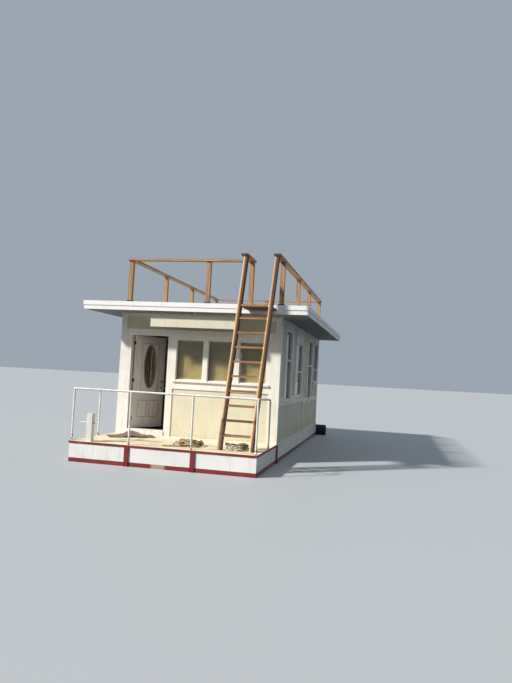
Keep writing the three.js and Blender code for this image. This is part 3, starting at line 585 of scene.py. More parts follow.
# %% Painted planks
def planks(name, pale, mid, dark, gap, roughness, inside=None, under=None):
    """Boards of their own tones with grooves between them, and grain stretched along x. inside has
    the pale and the dark tone of the room's floor. under has a height, and the colours of the
    boards and the gaps below it, which the roof uses as painted shade."""
    material, tree, shader = start_material(name)
    place = add(tree, "TexCoord").outputs["Object"]
    axes = add(tree, "SeparateXYZ", {"Vector": place})
    own, joint = boards(tree, axes)
    moved = add(tree, "Mapping", {"Vector": place, "Scale": (3.0, 60.0, 30.0)})
    grain = add(tree, "TexNoise", {"Vector": moved, "Scale": 1.0, "Detail": 4.0, "Roughness": 0.65})
    wear = add(tree, "TexNoise", {"Vector": place, "Scale": 2.2, "Detail": 6.0, "Roughness": 0.65})
    lift = add(tree, "Math", {0: own, 1: 0.22, 2: -0.11}, operation="MULTIPLY_ADD")
    worn = add(tree, "Math", {0: wear, 1: lift}, operation="ADD")
    tone = add(tree, "ValToRGB", {"Fac": worn},
               stops=[(0.32, srgb(pale)), (0.52, srgb(mid)), (0.74, srgb(dark))])
    streak = add(tree, "MapRange",
                 {"Value": grain, "From Min": 0.5, "From Max": 0.75, "To Max": 0.30})
    grained = add(tree, "Mix", {0: streak, 6: tone, 7: srgb(dark)}, data_type="RGBA")
    colour = add(tree, "Mix", {0: joint, 6: grained, 7: srgb(gap)}, data_type="RGBA")
    if inside:
        strip = add(tree, "Mapping", {"Vector": place, "Scale": (9.0, 0.8, 1.0)})
        floor_grain = add(tree, "TexNoise", {"Vector": strip, "Scale": 1.0, "Detail": 5.0})
        boarded = add(tree, "ValToRGB", {"Fac": floor_grain},
                      stops=list(zip((0.35, 0.65), map(srgb, inside))))
        colour = add(tree, "Mix", {0: in_room(tree, axes), 6: colour, 7: boarded}, data_type="RGBA")
    if under:
        # below this height the boards get darker colours: painted shade
        height, boards_tone, gap_tone = under
        below = add(tree, "Math", {0: axes.outputs["Z"], 1: height}, operation="LESS_THAN")
        close_boards_in_painted_shade = add(tree, "Mix", {0: joint, 6: srgb(boards_tone), 7: srgb(gap_tone)},
                    data_type="RGBA")
        colour = add(tree, "Mix", {0: below, 6: colour, 7: close_boards_in_painted_shade}, data_type="RGBA")
    depth = add(tree, "Math", {0: joint, 1: -3.0, 2: grain}, operation="MULTIPLY_ADD")
    bump = add(tree, "Bump", {"Height": depth, "Strength": 0.5, "Distance": 0.0015})
    feed(shader, {"Base Color": colour, "Normal": bump, "Roughness": roughness})
    return material

# %% Deck and roof
SOFFIT = 3.362                       # the roof's underside lies just below this height, m
deck_paint = planks("painted_deck_planks", "#f4e8cf", "#ecdcbc", "#cdb995", "#6f5f47", 0.75,
                    inside=("#b8946c", "#947150"))
# the underside's grey-blue boards and gaps are painted shade under the eaves
roof_paint = planks("painted_roof_planks", "#e2e0da", "#d3d1ca", "#b1aea5", "#807c74", 0.7,
                    under=(SOFFIT, "#868e94", "#62676b"))
print("planks", deck_paint.name, roof_paint.name)

# %% [markdown]
# ## Oiled timber
# The railing, the landing and the ladder are orange-brown softwood, sawn, stained and a few
# summers old. Grain is a noise drawn out 25 times along the board, with dark lines where it is
# high. A board's length is not the same axis on a post, a cap or a tread, so the noise's
# coordinates are swapped by a mask of position: one for the pieces that stand, one for the rest.
# On top of the wood comes wear on the railing, and painted light and shade on the ladder, so the
# two are not the same.

# %% Timber
def oiled_timber(name, lying, mask, wear, tones, aged_tone):
    """lying is the scale per metre for pieces that lie, and mask builds a socket that is 1 on the
    pieces that stand. wear builds the final colour from the wood's: real wear on the railing,
    painted light and shade on the ladder. tones go from the pale early wood to the darkest grain
    lines."""
    material, tree, shader = start_material(name)
    place = add(tree, "TexCoord").outputs["Object"]
    axes = add(tree, "SeparateXYZ", {"Vector": place})
    flat = add(tree, "Mapping", {"Vector": place, "Scale": lying})
    upright = add(tree, "Mapping",
                  {"Vector": place, "Scale": (42.0, 42.0, 1.7), "Location": (3.1, 5.7, 0.4)})
    stands = mask(tree, axes)
    where = add(tree, "Mix", {0: stands, 4: flat, 5: upright}, data_type="VECTOR")
    grain = add(tree, "TexNoise", {"Vector": where, "Scale": 1.0, "Detail": 5.0, "Roughness": 0.62,
                                   "Distortion": 0.35})
    wood = add(tree, "ValToRGB", {"Fac": grain},
               stops=list(zip((0.28, 0.46, 0.60, 0.78), map(srgb, tones))))
    cloud = add(tree, "TexNoise", {"Vector": place, "Scale": 1.3, "Detail": 4.0})
    aged = add(tree, "MapRange",
               {"Value": cloud, "From Min": 0.42, "From Max": 0.72, "To Max": 0.45})
    weathered = add(tree, "Mix", {0: aged, 6: wood, 7: srgb(aged_tone)}, data_type="RGBA")
    knot_place = add(tree, "Mapping", {"Vector": where, "Scale": (0.13, 0.13, 1.1)})
    knot = add(tree, "TexVoronoi", {"Vector": knot_place, "Scale": 1.0, "Randomness": 1.0})
    knotty = add(tree, "MapRange", {"Value": knot.outputs["Distance"], "From Min": 0.05,
                                    "From Max": 0.12, "To Min": 0.8, "To Max": 0.0})
    wood_colour = add(tree, "Mix", {0: knotty, 6: weathered, 7: srgb("#5a331c")}, data_type="RGBA")
    bump = add(tree, "Bump", {"Height": grain, "Strength": 0.35, "Distance": 0.0015})
    feed(shader, {"Base Color": wear(tree, axes, wood_colour), "Normal": bump, "Roughness": 0.68})
    return material

# %% Where timber stands
STILE_FOOT = {"left": 1024, "right": 1636}      # middle lines at the deck and at the caps, mm
STILE_HEAD = {"left": 1260, "right": 1880}
STILE_HALF = 33
FOOT_Z, HEAD_Z = 390, 4127


def under_caps(tree, axes):
    """1 below the caps' undersides, where a rail's posts stand, and 0 in its caps."""
    return add(tree, "Math", {0: axes.outputs["Z"], 1: at(0, 0, HEAD_Z)[2]}, operation="LESS_THAN")


def from_line(tree, axes, lean, foot):
    """How far a point is to the right of a line that stands on the deck at x = foot and leans to
    the right by lean: x - lean * z - (foot - lean * DECK)."""
    upright = add(tree, "Math", {0: axes.outputs["Z"], 1: -lean, 2: axes.outputs["X"]},
                  operation="MULTIPLY_ADD")
    return add(tree, "Math", {0: upright, 1: foot - lean * DECK}, operation="SUBTRACT")


def outside_treads(tree, axes):
    """1 on the stiles: the treads run between their inner faces, which lean to the right by the
    mean of the two stiles' leans."""
    lean = sum(STILE_HEAD[side] - STILE_FOOT[side] for side in STILE_FOOT) / 2 / (HEAD_Z - FOOT_Z)
    aside = from_line(tree, axes, lean, sum(STILE_FOOT.values()) / 2000)
    away = add(tree, "Math", {0: aside}, operation="ABSOLUTE")
    half = (STILE_FOOT["right"] - STILE_FOOT["left"]) / 2000 - STILE_HALF / 1000
    return add(tree, "Math", {0: away, 1: half}, operation="GREATER_THAN")

# %% Dark shoes and soaked ends on the railing
ROOF_TOP, SHOE_THICK = 3244, 24                 # mm
FRONT_POSTS_TO = 1480                           # behind the front row of posts, mm from the bow
WOOD_SHOE = {"middle": 1.24, "half": 0.08}      # the one front post on a wooden shoe, x in m
CAP_FORWARD = 690                               # front ends of the two long caps, mm


def railing_wear(tree, axes, colour):
    """Black where z, y and x are within the steel shoes of the front row, and dark towards the
    front ends of the caps that reach the ladder, which have drunk rain."""
    low = add(tree, "Math", {0: axes.outputs["Z"], 1: at(0, 0, ROOF_TOP + SHOE_THICK)[2] + 0.0005},
              operation="LESS_THAN")
    fore = add(tree, "Math", {0: axes.outputs["Y"], 1: at(0, FRONT_POSTS_TO, 0)[1]},
               operation="LESS_THAN")
    hand = add(tree, "Math", {0: axes.outputs["X"], 1: WOOD_SHOE["middle"]}, operation="SUBTRACT")
    off = add(tree, "Math", {0: hand}, operation="ABSOLUTE")
    other = add(tree, "Math", {0: off, 1: WOOD_SHOE["half"]}, operation="GREATER_THAN")
    both = add(tree, "Math", {0: low, 1: fore}, operation="MULTIPLY")
    shoe = add(tree, "Math", {0: both, 1: other}, operation="MULTIPLY")
    shod = add(tree, "Mix", {0: shoe, 6: colour, 7: srgb("#16161a")}, data_type="RGBA")
    soaked = add(tree, "MapRange", {"Value": axes.outputs["Y"],
                                    "From Min": at(0, CAP_FORWARD + 3, 0)[1],
                                    "From Max": at(0, CAP_FORWARD + 30, 0)[1],
                                    "To Min": 0.9, "To Max": 0.0})
    return add(tree, "Mix", {0: soaked, 6: shod, 7: srgb("#3a3028")}, data_type="RGBA")

# %% Painted light and shade on the ladder, and its greyer foot
STILE_REACH = 0.040                             # a little more than half a stile's width, m
LEFT_STILE_TO = 1.25                            # x that the left stile stays below near its foot


def ladder_light_shade_and_grey_foot(tree, axes, colour):
    """Painted light and shade: each stile's front edge is painted pale on its left, where the sun
    falls, and dark on its right, which is in shade. Every face that looks neither to the front nor
    to the back, the stiles' broad sides and the tops and undersides of the treads and the landing,
    is darkened as painted shade. The left stile's foot is greyer up to about half a metre."""
    lean = (STILE_HEAD["left"] - STILE_FOOT["left"]) / (HEAD_Z - FOOT_Z)
    half = STILE_HALF / 1000
    for foot in STILE_FOOT.values():
        off = from_line(tree, axes, lean, foot / 1000)
        on = add(tree, "Math", {0: off, 1: 0.0, 2: STILE_REACH}, operation="COMPARE")
        place = add(tree, "MapRange", {"Value": off, "From Min": -half, "From Max": half})
        # painted light and shade across the front edge: pale on the sunlit left, dark on the shaded
        # right
        worn = add(tree, "ValToRGB", {"Fac": place},
                   stops=[(0.10, srgb("#fbdcae")), (0.36, srgb("#d29a5c")),
                          (0.52, srgb("#6f3f1b")), (0.86, srgb("#3c200b"))])
        share = add(tree, "Math", {0: on, 1: 0.86}, operation="MULTIPLY")
        colour = add(tree, "Mix", {0: share, 6: colour, 7: worn}, data_type="RGBA")
    # painted shade: faces that don't look to the front or back turn towards #43280f
    facing = add(tree, "SeparateXYZ", {"Vector": add(tree, "TexCoord").outputs["Normal"]})
    turned_front = add(tree, "Math", {0: facing.outputs["Y"]}, operation="ABSOLUTE")
    stained = add(tree, "MapRange", {"Value": turned_front, "From Min": 0.5, "From Max": 0.8,
                                     "To Min": 0.90, "To Max": 0.0})
    dark = add(tree, "Mix", {0: stained, 6: colour, 7: srgb("#43280f")}, data_type="RGBA")
    foot = add(tree, "MapRange", {"Value": axes.outputs["Z"], "From Min": DECK + 0.30,
                                  "From Max": DECK + 0.62, "To Min": 0.6, "To Max": 0.0})
    left = add(tree, "Math", {0: axes.outputs["X"], 1: LEFT_STILE_TO}, operation="LESS_THAN")
    greyer_foot = add(tree, "Math", {0: foot, 1: left}, operation="MULTIPLY")
    return add(tree, "Mix", {0: greyer_foot, 6: dark, 7: srgb("#6f5c4c")}, data_type="RGBA")

# %% Three timbers
ALONG_X, ALONG_Y = (1.7, 42.0, 42.0), (42.0, 1.7, 42.0)
RAIL_TONES = ("#c8a277", "#b28a60", "#946c46", "#66452b"), "#9b8468"
LADDER_TONES = ("#c89862", "#af7d4a", "#8b5b33", "#523317"), "#9c8062"
rails_across = oiled_timber("oiled_softwood_rails_across", ALONG_X, under_caps, railing_wear,
                            *RAIL_TONES)
rails_along = oiled_timber("oiled_softwood_rails_along", ALONG_Y, under_caps, railing_wear,
                           *RAIL_TONES)
ladder_timber = oiled_timber("oiled_softwood_ladder", ALONG_X, outside_treads, ladder_light_shade_and_grey_foot,
                             *LADDER_TONES)
print("timbers", rails_across.name, rails_along.name, ladder_timber.name)

# %% [markdown]
# ## Glass
# Window glass passes lamps, so what stands behind it is lit: for shadow rays the shader is plain
# transparency, and for all others a clear, faintly green glass that mirrors the surround.

# %% Window glass
def window_glass(name, tint):
    """A Principled glass of IOR 1.5, mixed with Transparent for the rays that look for lamps."""
    material, tree, shader = start_material(name)
    feed(shader,
         {"Base Color": srgb(tint), "Roughness": 0.015, "IOR": 1.5, "Transmission Weight": 1.0})
    ray = add(tree, "LightPath")
    clear = add(tree, "BsdfTransparent", {"Color": srgb(tint)})
    mixed = add(tree, "MixShader", {0: ray.outputs["Is Shadow Ray"], 1: shader, 2: clear})
    feed(tree.nodes["Material Output"], {"Surface": mixed})
    return material


front_glass = window_glass("float_glass_clear", "#e3e1d9")
side_glass = window_glass("float_glass_grey", "#b9c0bd")
door_glass = window_glass("leaded_oval_glass", "#ecd8bd")
print("glass", front_glass.name, side_glass.name, door_glass.name)

# %% [markdown]
# ## Metals and rubber
# The deck railing is white enamel on steel tube, chipped to rust at its feet. The door's knob is
# satin steel. The fender is black rubber, chalky on top.

# %% Tube enamel
def chipped_enamel():
    """White enamel, with rust where a noise is high near the deck."""
    material, tree, shader = start_material("tube_enamel_white")
    place = add(tree, "TexCoord").outputs["Object"]
    axes = add(tree, "SeparateXYZ", {"Vector": place})
    cloud = add(tree, "TexNoise", {"Vector": place, "Scale": 6.0, "Detail": 5.0})
    tone = add(tree, "ValToRGB", {"Fac": cloud},
               stops=[(0.35, srgb("#f4f3f0")), (0.62, srgb("#e4e1da")), (0.8, srgb("#c9c4ba"))])
    chip = add(tree, "TexNoise", {"Vector": place, "Scale": 34.0, "Detail": 4.0})
    low = add(tree, "MapRange", {"Value": axes.outputs["Z"], "From Min": DECK + 0.02,
                                 "From Max": DECK + 0.20, "To Min": 0.22, "To Max": 0.0})
    chance = add(tree, "Math", {0: chip, 1: low}, operation="ADD")
    rust = add(tree, "MapRange", {"Value": chance, "From Min": 0.66, "From Max": 0.74})
    colour = add(tree, "Mix", {0: rust, 6: tone, 7: srgb("#7c4a2c")}, data_type="RGBA")
    rough = add(tree, "MapRange", {"Value": rust, "To Min": 0.3, "To Max": 0.85})
    feed(shader, {"Base Color": colour, "Roughness": rough})
    return material


tube_enamel = chipped_enamel()
print("tube", tube_enamel.name)

# %% Steel and rubber
def worn_surface(name, pale, dark, scale, roughness, metallic=0.0, grain=0.3, depth=0.001,
                 stretch=(1, 1, 1)):
    """Two tones by a noise, which also lifts the surface a little."""
    material, tree, shader = start_material(name)
    place = add(tree, "TexCoord").outputs["Object"]
    moved = add(tree, "Mapping", {"Vector": place, "Scale": stretch})
    noise = add(tree, "TexNoise",
                {"Vector": moved, "Scale": scale, "Detail": 5.0, "Roughness": 0.65})
    tone = add(tree, "ValToRGB", {"Fac": noise}, stops=[(0.34, srgb(pale)), (0.66, srgb(dark))])
    bump = add(tree, "Bump", {"Height": noise, "Strength": grain, "Distance": depth})
    rough = add(tree, "MapRange", {"Value": noise, "From Min": 0.3, "From Max": 0.7,
                                   "To Min": roughness - 0.07, "To Max": roughness + 0.07})
    feed(shader, {"Base Color": tone, "Roughness": rough, "Normal": bump, "Metallic": metallic})
    return material


satin_steel = worn_surface("satin_steel", "#c9cac8", "#9c9d9b", 60.0, 0.3, metallic=1.0,
                           stretch=(1, 1, 14))
zinc_screw = worn_surface("zinc_plated_screw", "#a8a7a2", "#6d6a64", 90.0, 0.45, metallic=1.0)
fender_rubber = worn_surface("moulded_rubber_black", "#232427", "#0e0e10", 14.0, 0.7, grain=0.5,
                             depth=0.002)
black_line = worn_surface("braided_line_black", "#3a3a3c", "#17171a", 120.0, 0.85, grain=0.8)
print("metal and rubber", satin_steel.name, zinc_screw.name, fender_rubber.name, black_line.name)

# %% [markdown]
# ## The finishes go on the solids
# A solid's shape is right as it is, so it only gets one finish in place of its flat colour. Parts
# of a kind share the start of their names, so the table below has one line for each start, and
# the first start that fits a name wins.

# %% Dress the solids
finishes = {                     # a longer start comes before a shorter one that it begins with
    "hull": hull_paint, "gunwale": band_paint, "batten": red_paint, "stern_fender": fender_rubber,
    "deck_railing": tube_enamel, "deck": deck_paint, "mooring_post": post_paint,
    "mooring_pin": tube_enamel, "wall": panel_paint, "trim": trim_paint, "threshold": trim_paint,
    "glass_front": front_glass, "glass": side_glass, "sign_board": sign_paint,
    "door_frame": trim_paint, "door_glass": door_glass, "door_handle": satin_steel,
    "roof_rail_front": rails_across, "roof_rail_rear": rails_across, "roof_rail": rails_along,
    "roof": roof_paint, "fascia": fascia_paint, "ladder_hand_rail": rails_along,
    "ladder": ladder_timber, "landing": ladder_timber,
}


def dress(solid, finish):
    """The finish as the solid's one material."""
    solid.data.materials.clear()
    solid.data.materials.append(finish)


# ropes and mat are replaced by pieces of their own, and the door's slab gets its finish below
dressed = 0
for name, solid in nodes.items():
    finish = next((finishes[start] for start in finishes if name.startswith(start)), None)
    if finish:
        dress(solid, finish)
        dressed += 1
print("dressed", dressed, "of", len(nodes), "solids")

# %% [markdown]
# ## Roller blinds behind the front and the left windows
# Each of these windows has a tan roller blind, down to the sill. The cloth is one thin sheet that
# leaves the roller at the back and hangs plumb, with a slight wave across it and a bar in its hem.
# The cloth is a function of width and drop on a grid. The blinds on the left keep the room dark
# behind the door and behind the glass on the right.

# %% Bars
def bar(section, start, end, up=(0, 0, 1)):
    """Points and triangles of a straight bar: the section (n, 2) carried from start to end, its
    first number along the direction square to both, its second along up, and both ends closed by
    a fan from their middle."""
    start, end, up = (np.asarray(part, float) for part in (start, end, up))
    ahead = (end - start) / np.linalg.norm(end - start)
    side = np.cross(ahead, up)
    side /= np.linalg.norm(side)
    over = np.cross(side, ahead)
    section = np.asarray(section, float)
    ring = section[:, :1] * side + section[:, 1:] * over
    points = np.concatenate([start + ring, end + ring, [start + ring.mean(0), end + ring.mean(0)]])
    return points, capped_faces(2, len(section))


def joined(parts):
    """Several (points, faces) as one, with each part's face numbers moved past the earlier
    points."""
    points, faces, used = [], [], 0
    for part_points, part_faces in parts:
        points.append(part_points)
        faces.append(part_faces + used)
        used += len(part_points)
    return np.concatenate(points), np.concatenate(faces)

# %% Sections
def round_section(radius, count=16):
    """A circle of count points, given clockwise."""
    a = -np.arange(count) / count * 2 * np.pi
    return np.stack([radius * np.cos(a), radius * np.sin(a)], axis=1)


def soft_rectangle(width, height, corner, count=3):
    """A rectangle with quarter-circle corners, given clockwise."""
    a = -np.linspace(0, np.pi / 2, count)
    parts = []
    for turn, (x, y) in enumerate([(1, 1), (1, -1), (-1, -1), (-1, 1)]):
        angle = a + np.pi / 2 - turn * np.pi / 2
        parts.append(np.stack([x * (width / 2 - corner) + corner * np.cos(angle),
                               y * (height / 2 - corner) + corner * np.sin(angle)], axis=1))
    return np.concatenate(parts)

# %% Blind cloth
def blind_cloth():
    """Plain-woven polyester: threads a few mm apart, drawn coarser than the real 0.5 mm so that
    they show. Where warp and weft cross, their two waves multiply to a dark hollow."""
    material, tree, shader = start_material("woven_blind_cloth_tan")
    place = add(tree, "TexCoord").outputs["Object"]
    # turned by 45 degrees, x changes along a front window and along a side window alike
    swung = add(tree, "Mapping", {"Vector": place, "Rotation": (0.0, 0.0, math.radians(45))})
    warp = add(tree, "TexWave", {"Vector": swung, "Scale": 113.0, "Distortion": 1.2, "Detail": 1.0},
               bands_direction="X")
    weft = add(tree, "TexWave", {"Vector": place, "Scale": 80.0, "Distortion": 1.2, "Detail": 1.0},
               bands_direction="Z")
    weave = add(tree, "Math", {0: warp.outputs["Fac"], 1: weft.outputs["Fac"]},
                operation="MULTIPLY")
    cloud = add(tree, "TexNoise", {"Vector": place, "Scale": 5.0, "Detail": 4.0})
    tone = add(tree, "ValToRGB", {"Fac": cloud},
               stops=[(0.35, srgb("#bfb287")), (0.65, srgb("#aa9c73"))])
    colour = add(tree, "Mix", {0: weave, 6: tone, 7: srgb("#988a63")}, data_type="RGBA")
    bump = add(tree, "Bump", {"Height": weave, "Strength": 0.3, "Distance": 0.0006})
    feed(shader,
         {"Base Color": colour, "Normal": bump, "Roughness": 0.9, "Specular IOR Level": 0.2})
    return material


cloth = blind_cloth()
plastic = worn_surface("moulded_plastic_ivory", "#e4dfd0", "#cfc9b8", 30.0, 0.45)
print("blinds' finishes", cloth.name, plastic.name)

# %% Where the blinds hang
# first and last edge of each opening along its wall, its sill and its head, mm
front_windows = [(-498, 117, 1620, 2512), (222, 820, 1620, 2512), (930, 1530, 1620, 2512)]
left_windows = [(2680, 3500, 1270, 2880), (4190, 5270, 1321, 2680), (6420, 7310, 1190, 2880),
                (7820, 8640, 1670, 2870)]
SIDE_GAP, HEAD_GAP, SILL_GAP = 14, 26, 12        # round a blind in its opening, mm
FRONT_AXIS, LEFT_AXIS = 2050, -1722              # y of the front rollers, x of the left ones, mm
# name, the roller's first end, the direction that it runs in, its width, the cloth's drop
hung = []
for start, windows, heading in (("", front_windows, (1.0, 0.0)),
                                ("left_", left_windows, (0.0, -1.0))):
    for number, (first, last, sill, head) in enumerate(windows, 1):
        corner = (first + SIDE_GAP, FRONT_AXIS) if windows is front_windows else (
            LEFT_AXIS, last - SIDE_GAP)
        hung.append((f"{start}{number}", at(*corner, head - HEAD_GAP), heading,
                     (last - first - 2 * SIDE_GAP) / 1000,
                     (head - sill - HEAD_GAP - SILL_GAP) / 1000))
print("openings with a blind", len(hung))

# %% Hang the blinds
ROLLER = 0.019                                   # radius of a full roller, m
HEM = 0.006                                      # cloth left free at each end of the roller, m
SWAY = 0.0022                                    # half the height of the cloth's wave, m
UPWARD = np.array([0.0, 0.0, 1.0])
ACROSS, DOWN = 25, 31                            # points of a cloth's grid
hem_section = soft_rectangle(0.010, 0.026, 0.004)
bracket = soft_rectangle(0.044, 0.044, 0.006)
for number, (name, axis, (run_x, run_y), width, drop) in enumerate(hung, 1):
    along_wall, inward = np.array([run_x, run_y, 0.0]), np.array([-run_y, run_x, 0.0])
    # cloth: u along the wall, v down; it stands a roller's radius behind the roller's axis
    u, v = (part[..., None] for part in
            np.meshgrid(np.linspace(0, 1, ACROSS), np.linspace(0, 1, DOWN), indexing="ij"))
    sway = SWAY * np.sin(2 * np.pi * (1.3 * u + 0.21 * number)) * v ** 1.5
    cloth_points = (axis + along_wall * (HEM + (width - 2 * HEM) * u) + inward * (ROLLER + sway)
                    - UPWARD * drop * v)
    sheet = make_piece(f"blind_cloth_{name}", cloth_points.reshape(-1, 3),
                       grid_faces(ACROSS, DOWN)[:, ::-1], cloth)
    hem_start = axis + along_wall * 0.004 + inward * ROLLER + UPWARD * (0.013 - drop)
    hem = make_piece(f"blind_hem_bar_{name}",
                     *bar(hem_section, hem_start, hem_start + along_wall * (width - 0.008)),
                     plastic, smooth=False)
    # the brackets stand 2 mm off the roller's ends and are 11.5 mm thick
    centre = axis + UPWARD * 0.001
    roller = make_piece(f"blind_roller_{name}", *joined([
        bar(round_section(ROLLER - 0.001), axis, axis + along_wall * width),
        bar(bracket, centre - along_wall * 0.0135, centre - along_wall * 0.002),
        bar(bracket, centre + along_wall * (width + 0.002),
            centre + along_wall * (width + 0.0135))]), plastic)
    for piece in (sheet, hem, roller):
        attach(piece, "boat")
print("blinds", len(hung))

# %% [markdown]
# ## The mat before the door
# A brown woven mat lies askew on the deck, and a foot has pushed it up into a ruck across its
# middle. Cloth simulation could push a sheet together, but one ruck is a known curve, steeper on
# the side that was pushed, and highest towards the door. So the mat is a grid over its plan
# whose height is that curve, with slow waves where woven stuff never lies quite flat, and
# Solidify gives it its thickness.

# %% Woven mat
def woven_mat():
    """Ribs 9 mm apart across the mat, drawn coarser than the real 4 mm so that they show, under
    loose pile. The UV map is metres along and across the mat."""
    material, tree, shader = start_material("woven_mat_brown")
    place = add(tree, "TexCoord")
    rib = add(tree, "TexWave", {"Vector": place.outputs["UV"], "Scale": 17.7, "Distortion": 2.2,
                                "Detail": 2.0, "Detail Scale": 3.0}, bands_direction="X")
    pile = add(tree, "TexNoise",
               {"Vector": place.outputs["UV"], "Scale": 140.0, "Detail": 4.0, "Roughness": 0.7})
    cloud = add(tree, "TexNoise",
                {"Vector": place.outputs["UV"], "Scale": 9.0, "Detail": 4.0, "Roughness": 0.6})
    worn = add(tree, "Math", {0: pile, 1: 0.45, 2: cloud}, operation="MULTIPLY_ADD")
    tone = add(tree, "ValToRGB", {"Fac": worn},
               stops=[(0.52, srgb("#957a60")), (0.72, srgb("#7b634c")), (0.92, srgb("#584534"))])
    hollow = add(tree, "MapRange", {"Value": rib.outputs["Fac"], "To Min": 0.45, "To Max": 0.0})
    colour = add(tree, "Mix", {0: hollow, 6: tone, 7: srgb("#443426")}, data_type="RGBA")
    lift = add(tree, "Math", {0: rib.outputs["Fac"], 1: 0.8, 2: pile}, operation="MULTIPLY_ADD")
    bump = add(tree, "Bump", {"Height": lift, "Strength": 0.8, "Distance": 0.002})
    feed(shader, {"Base Color": colour, "Normal": bump, "Roughness": 0.95, "Sheen Weight": 0.25,
                  "Specular IOR Level": 0.15})
    return material

# %% The mat's height over its plan
MAT_FROM, MAT_TO, MAT_WIDE, MAT_THICK = -0.460, 0.508, 0.458, 0.010      # m
MAT_ROWS, MAT_COLUMNS = 97, 41
RUCK, LOW_END = 0.092, 0.36          # the ruck's height, and its share of that at the front edge
STEEP, GENTLE = 0.150, 0.205         # the ruck's reach on its pushed side and beyond it, m

# along and across go from -1 to 1, and run is metres along the mat
along, across = np.meshgrid(np.linspace(-1, 1, MAT_ROWS), np.linspace(-1, 1, MAT_COLUMNS),
                            indexing="ij")
run = (MAT_TO + MAT_FROM) / 2 + along * (MAT_TO - MAT_FROM) / 2
# the ruck is exp(-(distance from its crest / reach)^2), eased from its low end to full height
crest = 0.012 + 0.030 * across
reach = np.where(run < crest, STEEP, GENTLE)
eased = np.clip((across + 1) / 1.5, 0, 1)
rises = LOW_END + (1 - LOW_END) * eased ** 2 * (3 - 2 * eased)
ruck = RUCK * rises * np.exp(-((run - crest) / reach) ** 2)
# two slow waves, which die away at the two short edges
waves = (0.0035 * np.sin(23 * along + 2.1 * across) * np.sin(3.1 * across + 1.4)
         + 0.0030 * np.sin(9 * along + 4.0 * across + 0.8))
edge = np.clip((1 - np.abs(along)) * 9, 0, 1) * 0.8 + 0.2
height = 0.001 + ruck + np.maximum(waves * edge, -0.6 * ruck) + 0.0035 * edge
print("ruck", round(float(height.max()), 3), "m high")

# %% Lay the mat
MAT_MIDDLE, MAT_TURN = at(-1200, 1360, 390), math.radians(33)
# the long sides are drawn in a little at the ruck, and the four corners are round
draw = 0.010 * np.exp(-((run - 0.02) / 0.14) ** 2) + 0.0025 * np.sin(13 * along + across)
corner = np.maximum(np.abs(along) - 0.955, 0) / 0.045
s = run * (1 - 0.012 * across ** 8)
w = across * (MAT_WIDE / 2 - draw - 0.020 * (1 - np.sqrt(1 - corner ** 2 + 1e-9)))
mat_x = MAT_MIDDLE[0] + s * math.cos(MAT_TURN) - w * math.sin(MAT_TURN)
mat_y = MAT_MIDDLE[1] + s * math.sin(MAT_TURN) + w * math.cos(MAT_TURN)
mat_points = np.stack([mat_x, mat_y, MAT_MIDDLE[2] + height], axis=-1)
mat = make_piece("woven_door_mat", mat_points, grid_faces(MAT_ROWS, MAT_COLUMNS)[:, ::-1],
                 woven_mat(), uv=np.stack([s.ravel(), w.ravel()], axis=1))
shell = mat.modifiers.new("thickness", "SOLIDIFY")
shell.thickness, shell.offset, shell.use_even_offset = MAT_THICK, 1.0, True
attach(mat, "boat")
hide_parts("door_mat")

# %% [markdown]
# ## The door's own directions
# The door stands open into the room. What is on it is drawn along the slab, up, and inward, all
# measured from its hinge line, and set in place by its angle at rest. That is simpler than to
# model a closed door and turn it, because a finished piece stays at the origin, unturned.

# %% Hinge line and directions
HINGE = at(-1556, 2095, 0)
OPEN = math.radians(60)
door_x = np.array([math.cos(OPEN), math.sin(OPEN), 0.0])
door_y = np.array([-math.sin(OPEN), math.cos(OPEN), 0.0])
DOOR_OUT, DOOR_IN = -0.058, -0.013   # the slab's two faces, metres inward from the hinge line
print("door", round(math.degrees(OPEN)), "degrees open at rest")

# %% [markdown]
# ## Dark bronze on the hinges
# The slab's solid carries its hinges: knuckles on the hinge line and leaves on the inner face. A
# leaf also goes round into the slab's edge, flush with the wood, so there it is a patch of bronze.
# Both are told from the painted skin by position: what stands proud of the inner face, and the
# slab's edge near a hinge's height.

# %% Bronze where the hinges are
HINGE_HEIGHTS = (720, 1560, 2400)    # mm above the waterline
LEAF_HALF, EDGE_AT = 0.045, 0.002    # half a leaf's height, and where the slab's edge is, m
slab_paint = brushed_paint("door_skin_and_bronze_hinges", *DOOR_TONES, brush=DOOR_BRUSH,
                           runs=0.18)
tree = slab_paint.node_tree
shader = tree.nodes["Principled BSDF"]
painted = shader.inputs["Base Color"].links[0].from_socket
own = add(tree, "Mapping", {"Vector": add(tree, "TexCoord").outputs["Object"],
                            "Rotation": (0.0, 0.0, -OPEN),
                            "Location": (-HINGE @ door_x, -HINGE @ door_y, 0.0)})
axes = add(tree, "SeparateXYZ", {"Vector": own})
bronze = add(tree, "Math", {0: axes.outputs["Y"], 1: DOOR_IN + 0.0008}, operation="GREATER_THAN")
at_edge = add(tree, "Math", {0: axes.outputs["X"], 1: EDGE_AT + 0.001}, operation="LESS_THAN")
for height in HINGE_HEIGHTS:
    near = add(tree, "Math", {0: axes.outputs["Z"], 1: at(0, 0, height)[2], 2: LEAF_HALF},
               operation="COMPARE")
    patch = add(tree, "Math", {0: near, 1: at_edge}, operation="MULTIPLY")
    bronze = add(tree, "Math", {0: bronze, 1: patch}, operation="MAXIMUM")
colour = add(tree, "Mix", {0: bronze, 6: painted, 7: srgb("#2b2520")}, data_type="RGBA")
feed(shader, {"Base Color": colour})
dress(nodes["door_slab"], slab_paint)
print("hinges", len(HINGE_HEIGHTS))

# %% [markdown]
# ## Mouldings on the door
# The door is a smooth skin with planted mouldings: a tall outline round the oval glass, and two
# panels below. A taupe ring holds the glass, and brass strips on the glass draw two long leaves
# and a ring between them. Each could be a bevelled curve, but here it is a closed loop on the
# door's face with a small half-round section carried along it, so its faces are known.

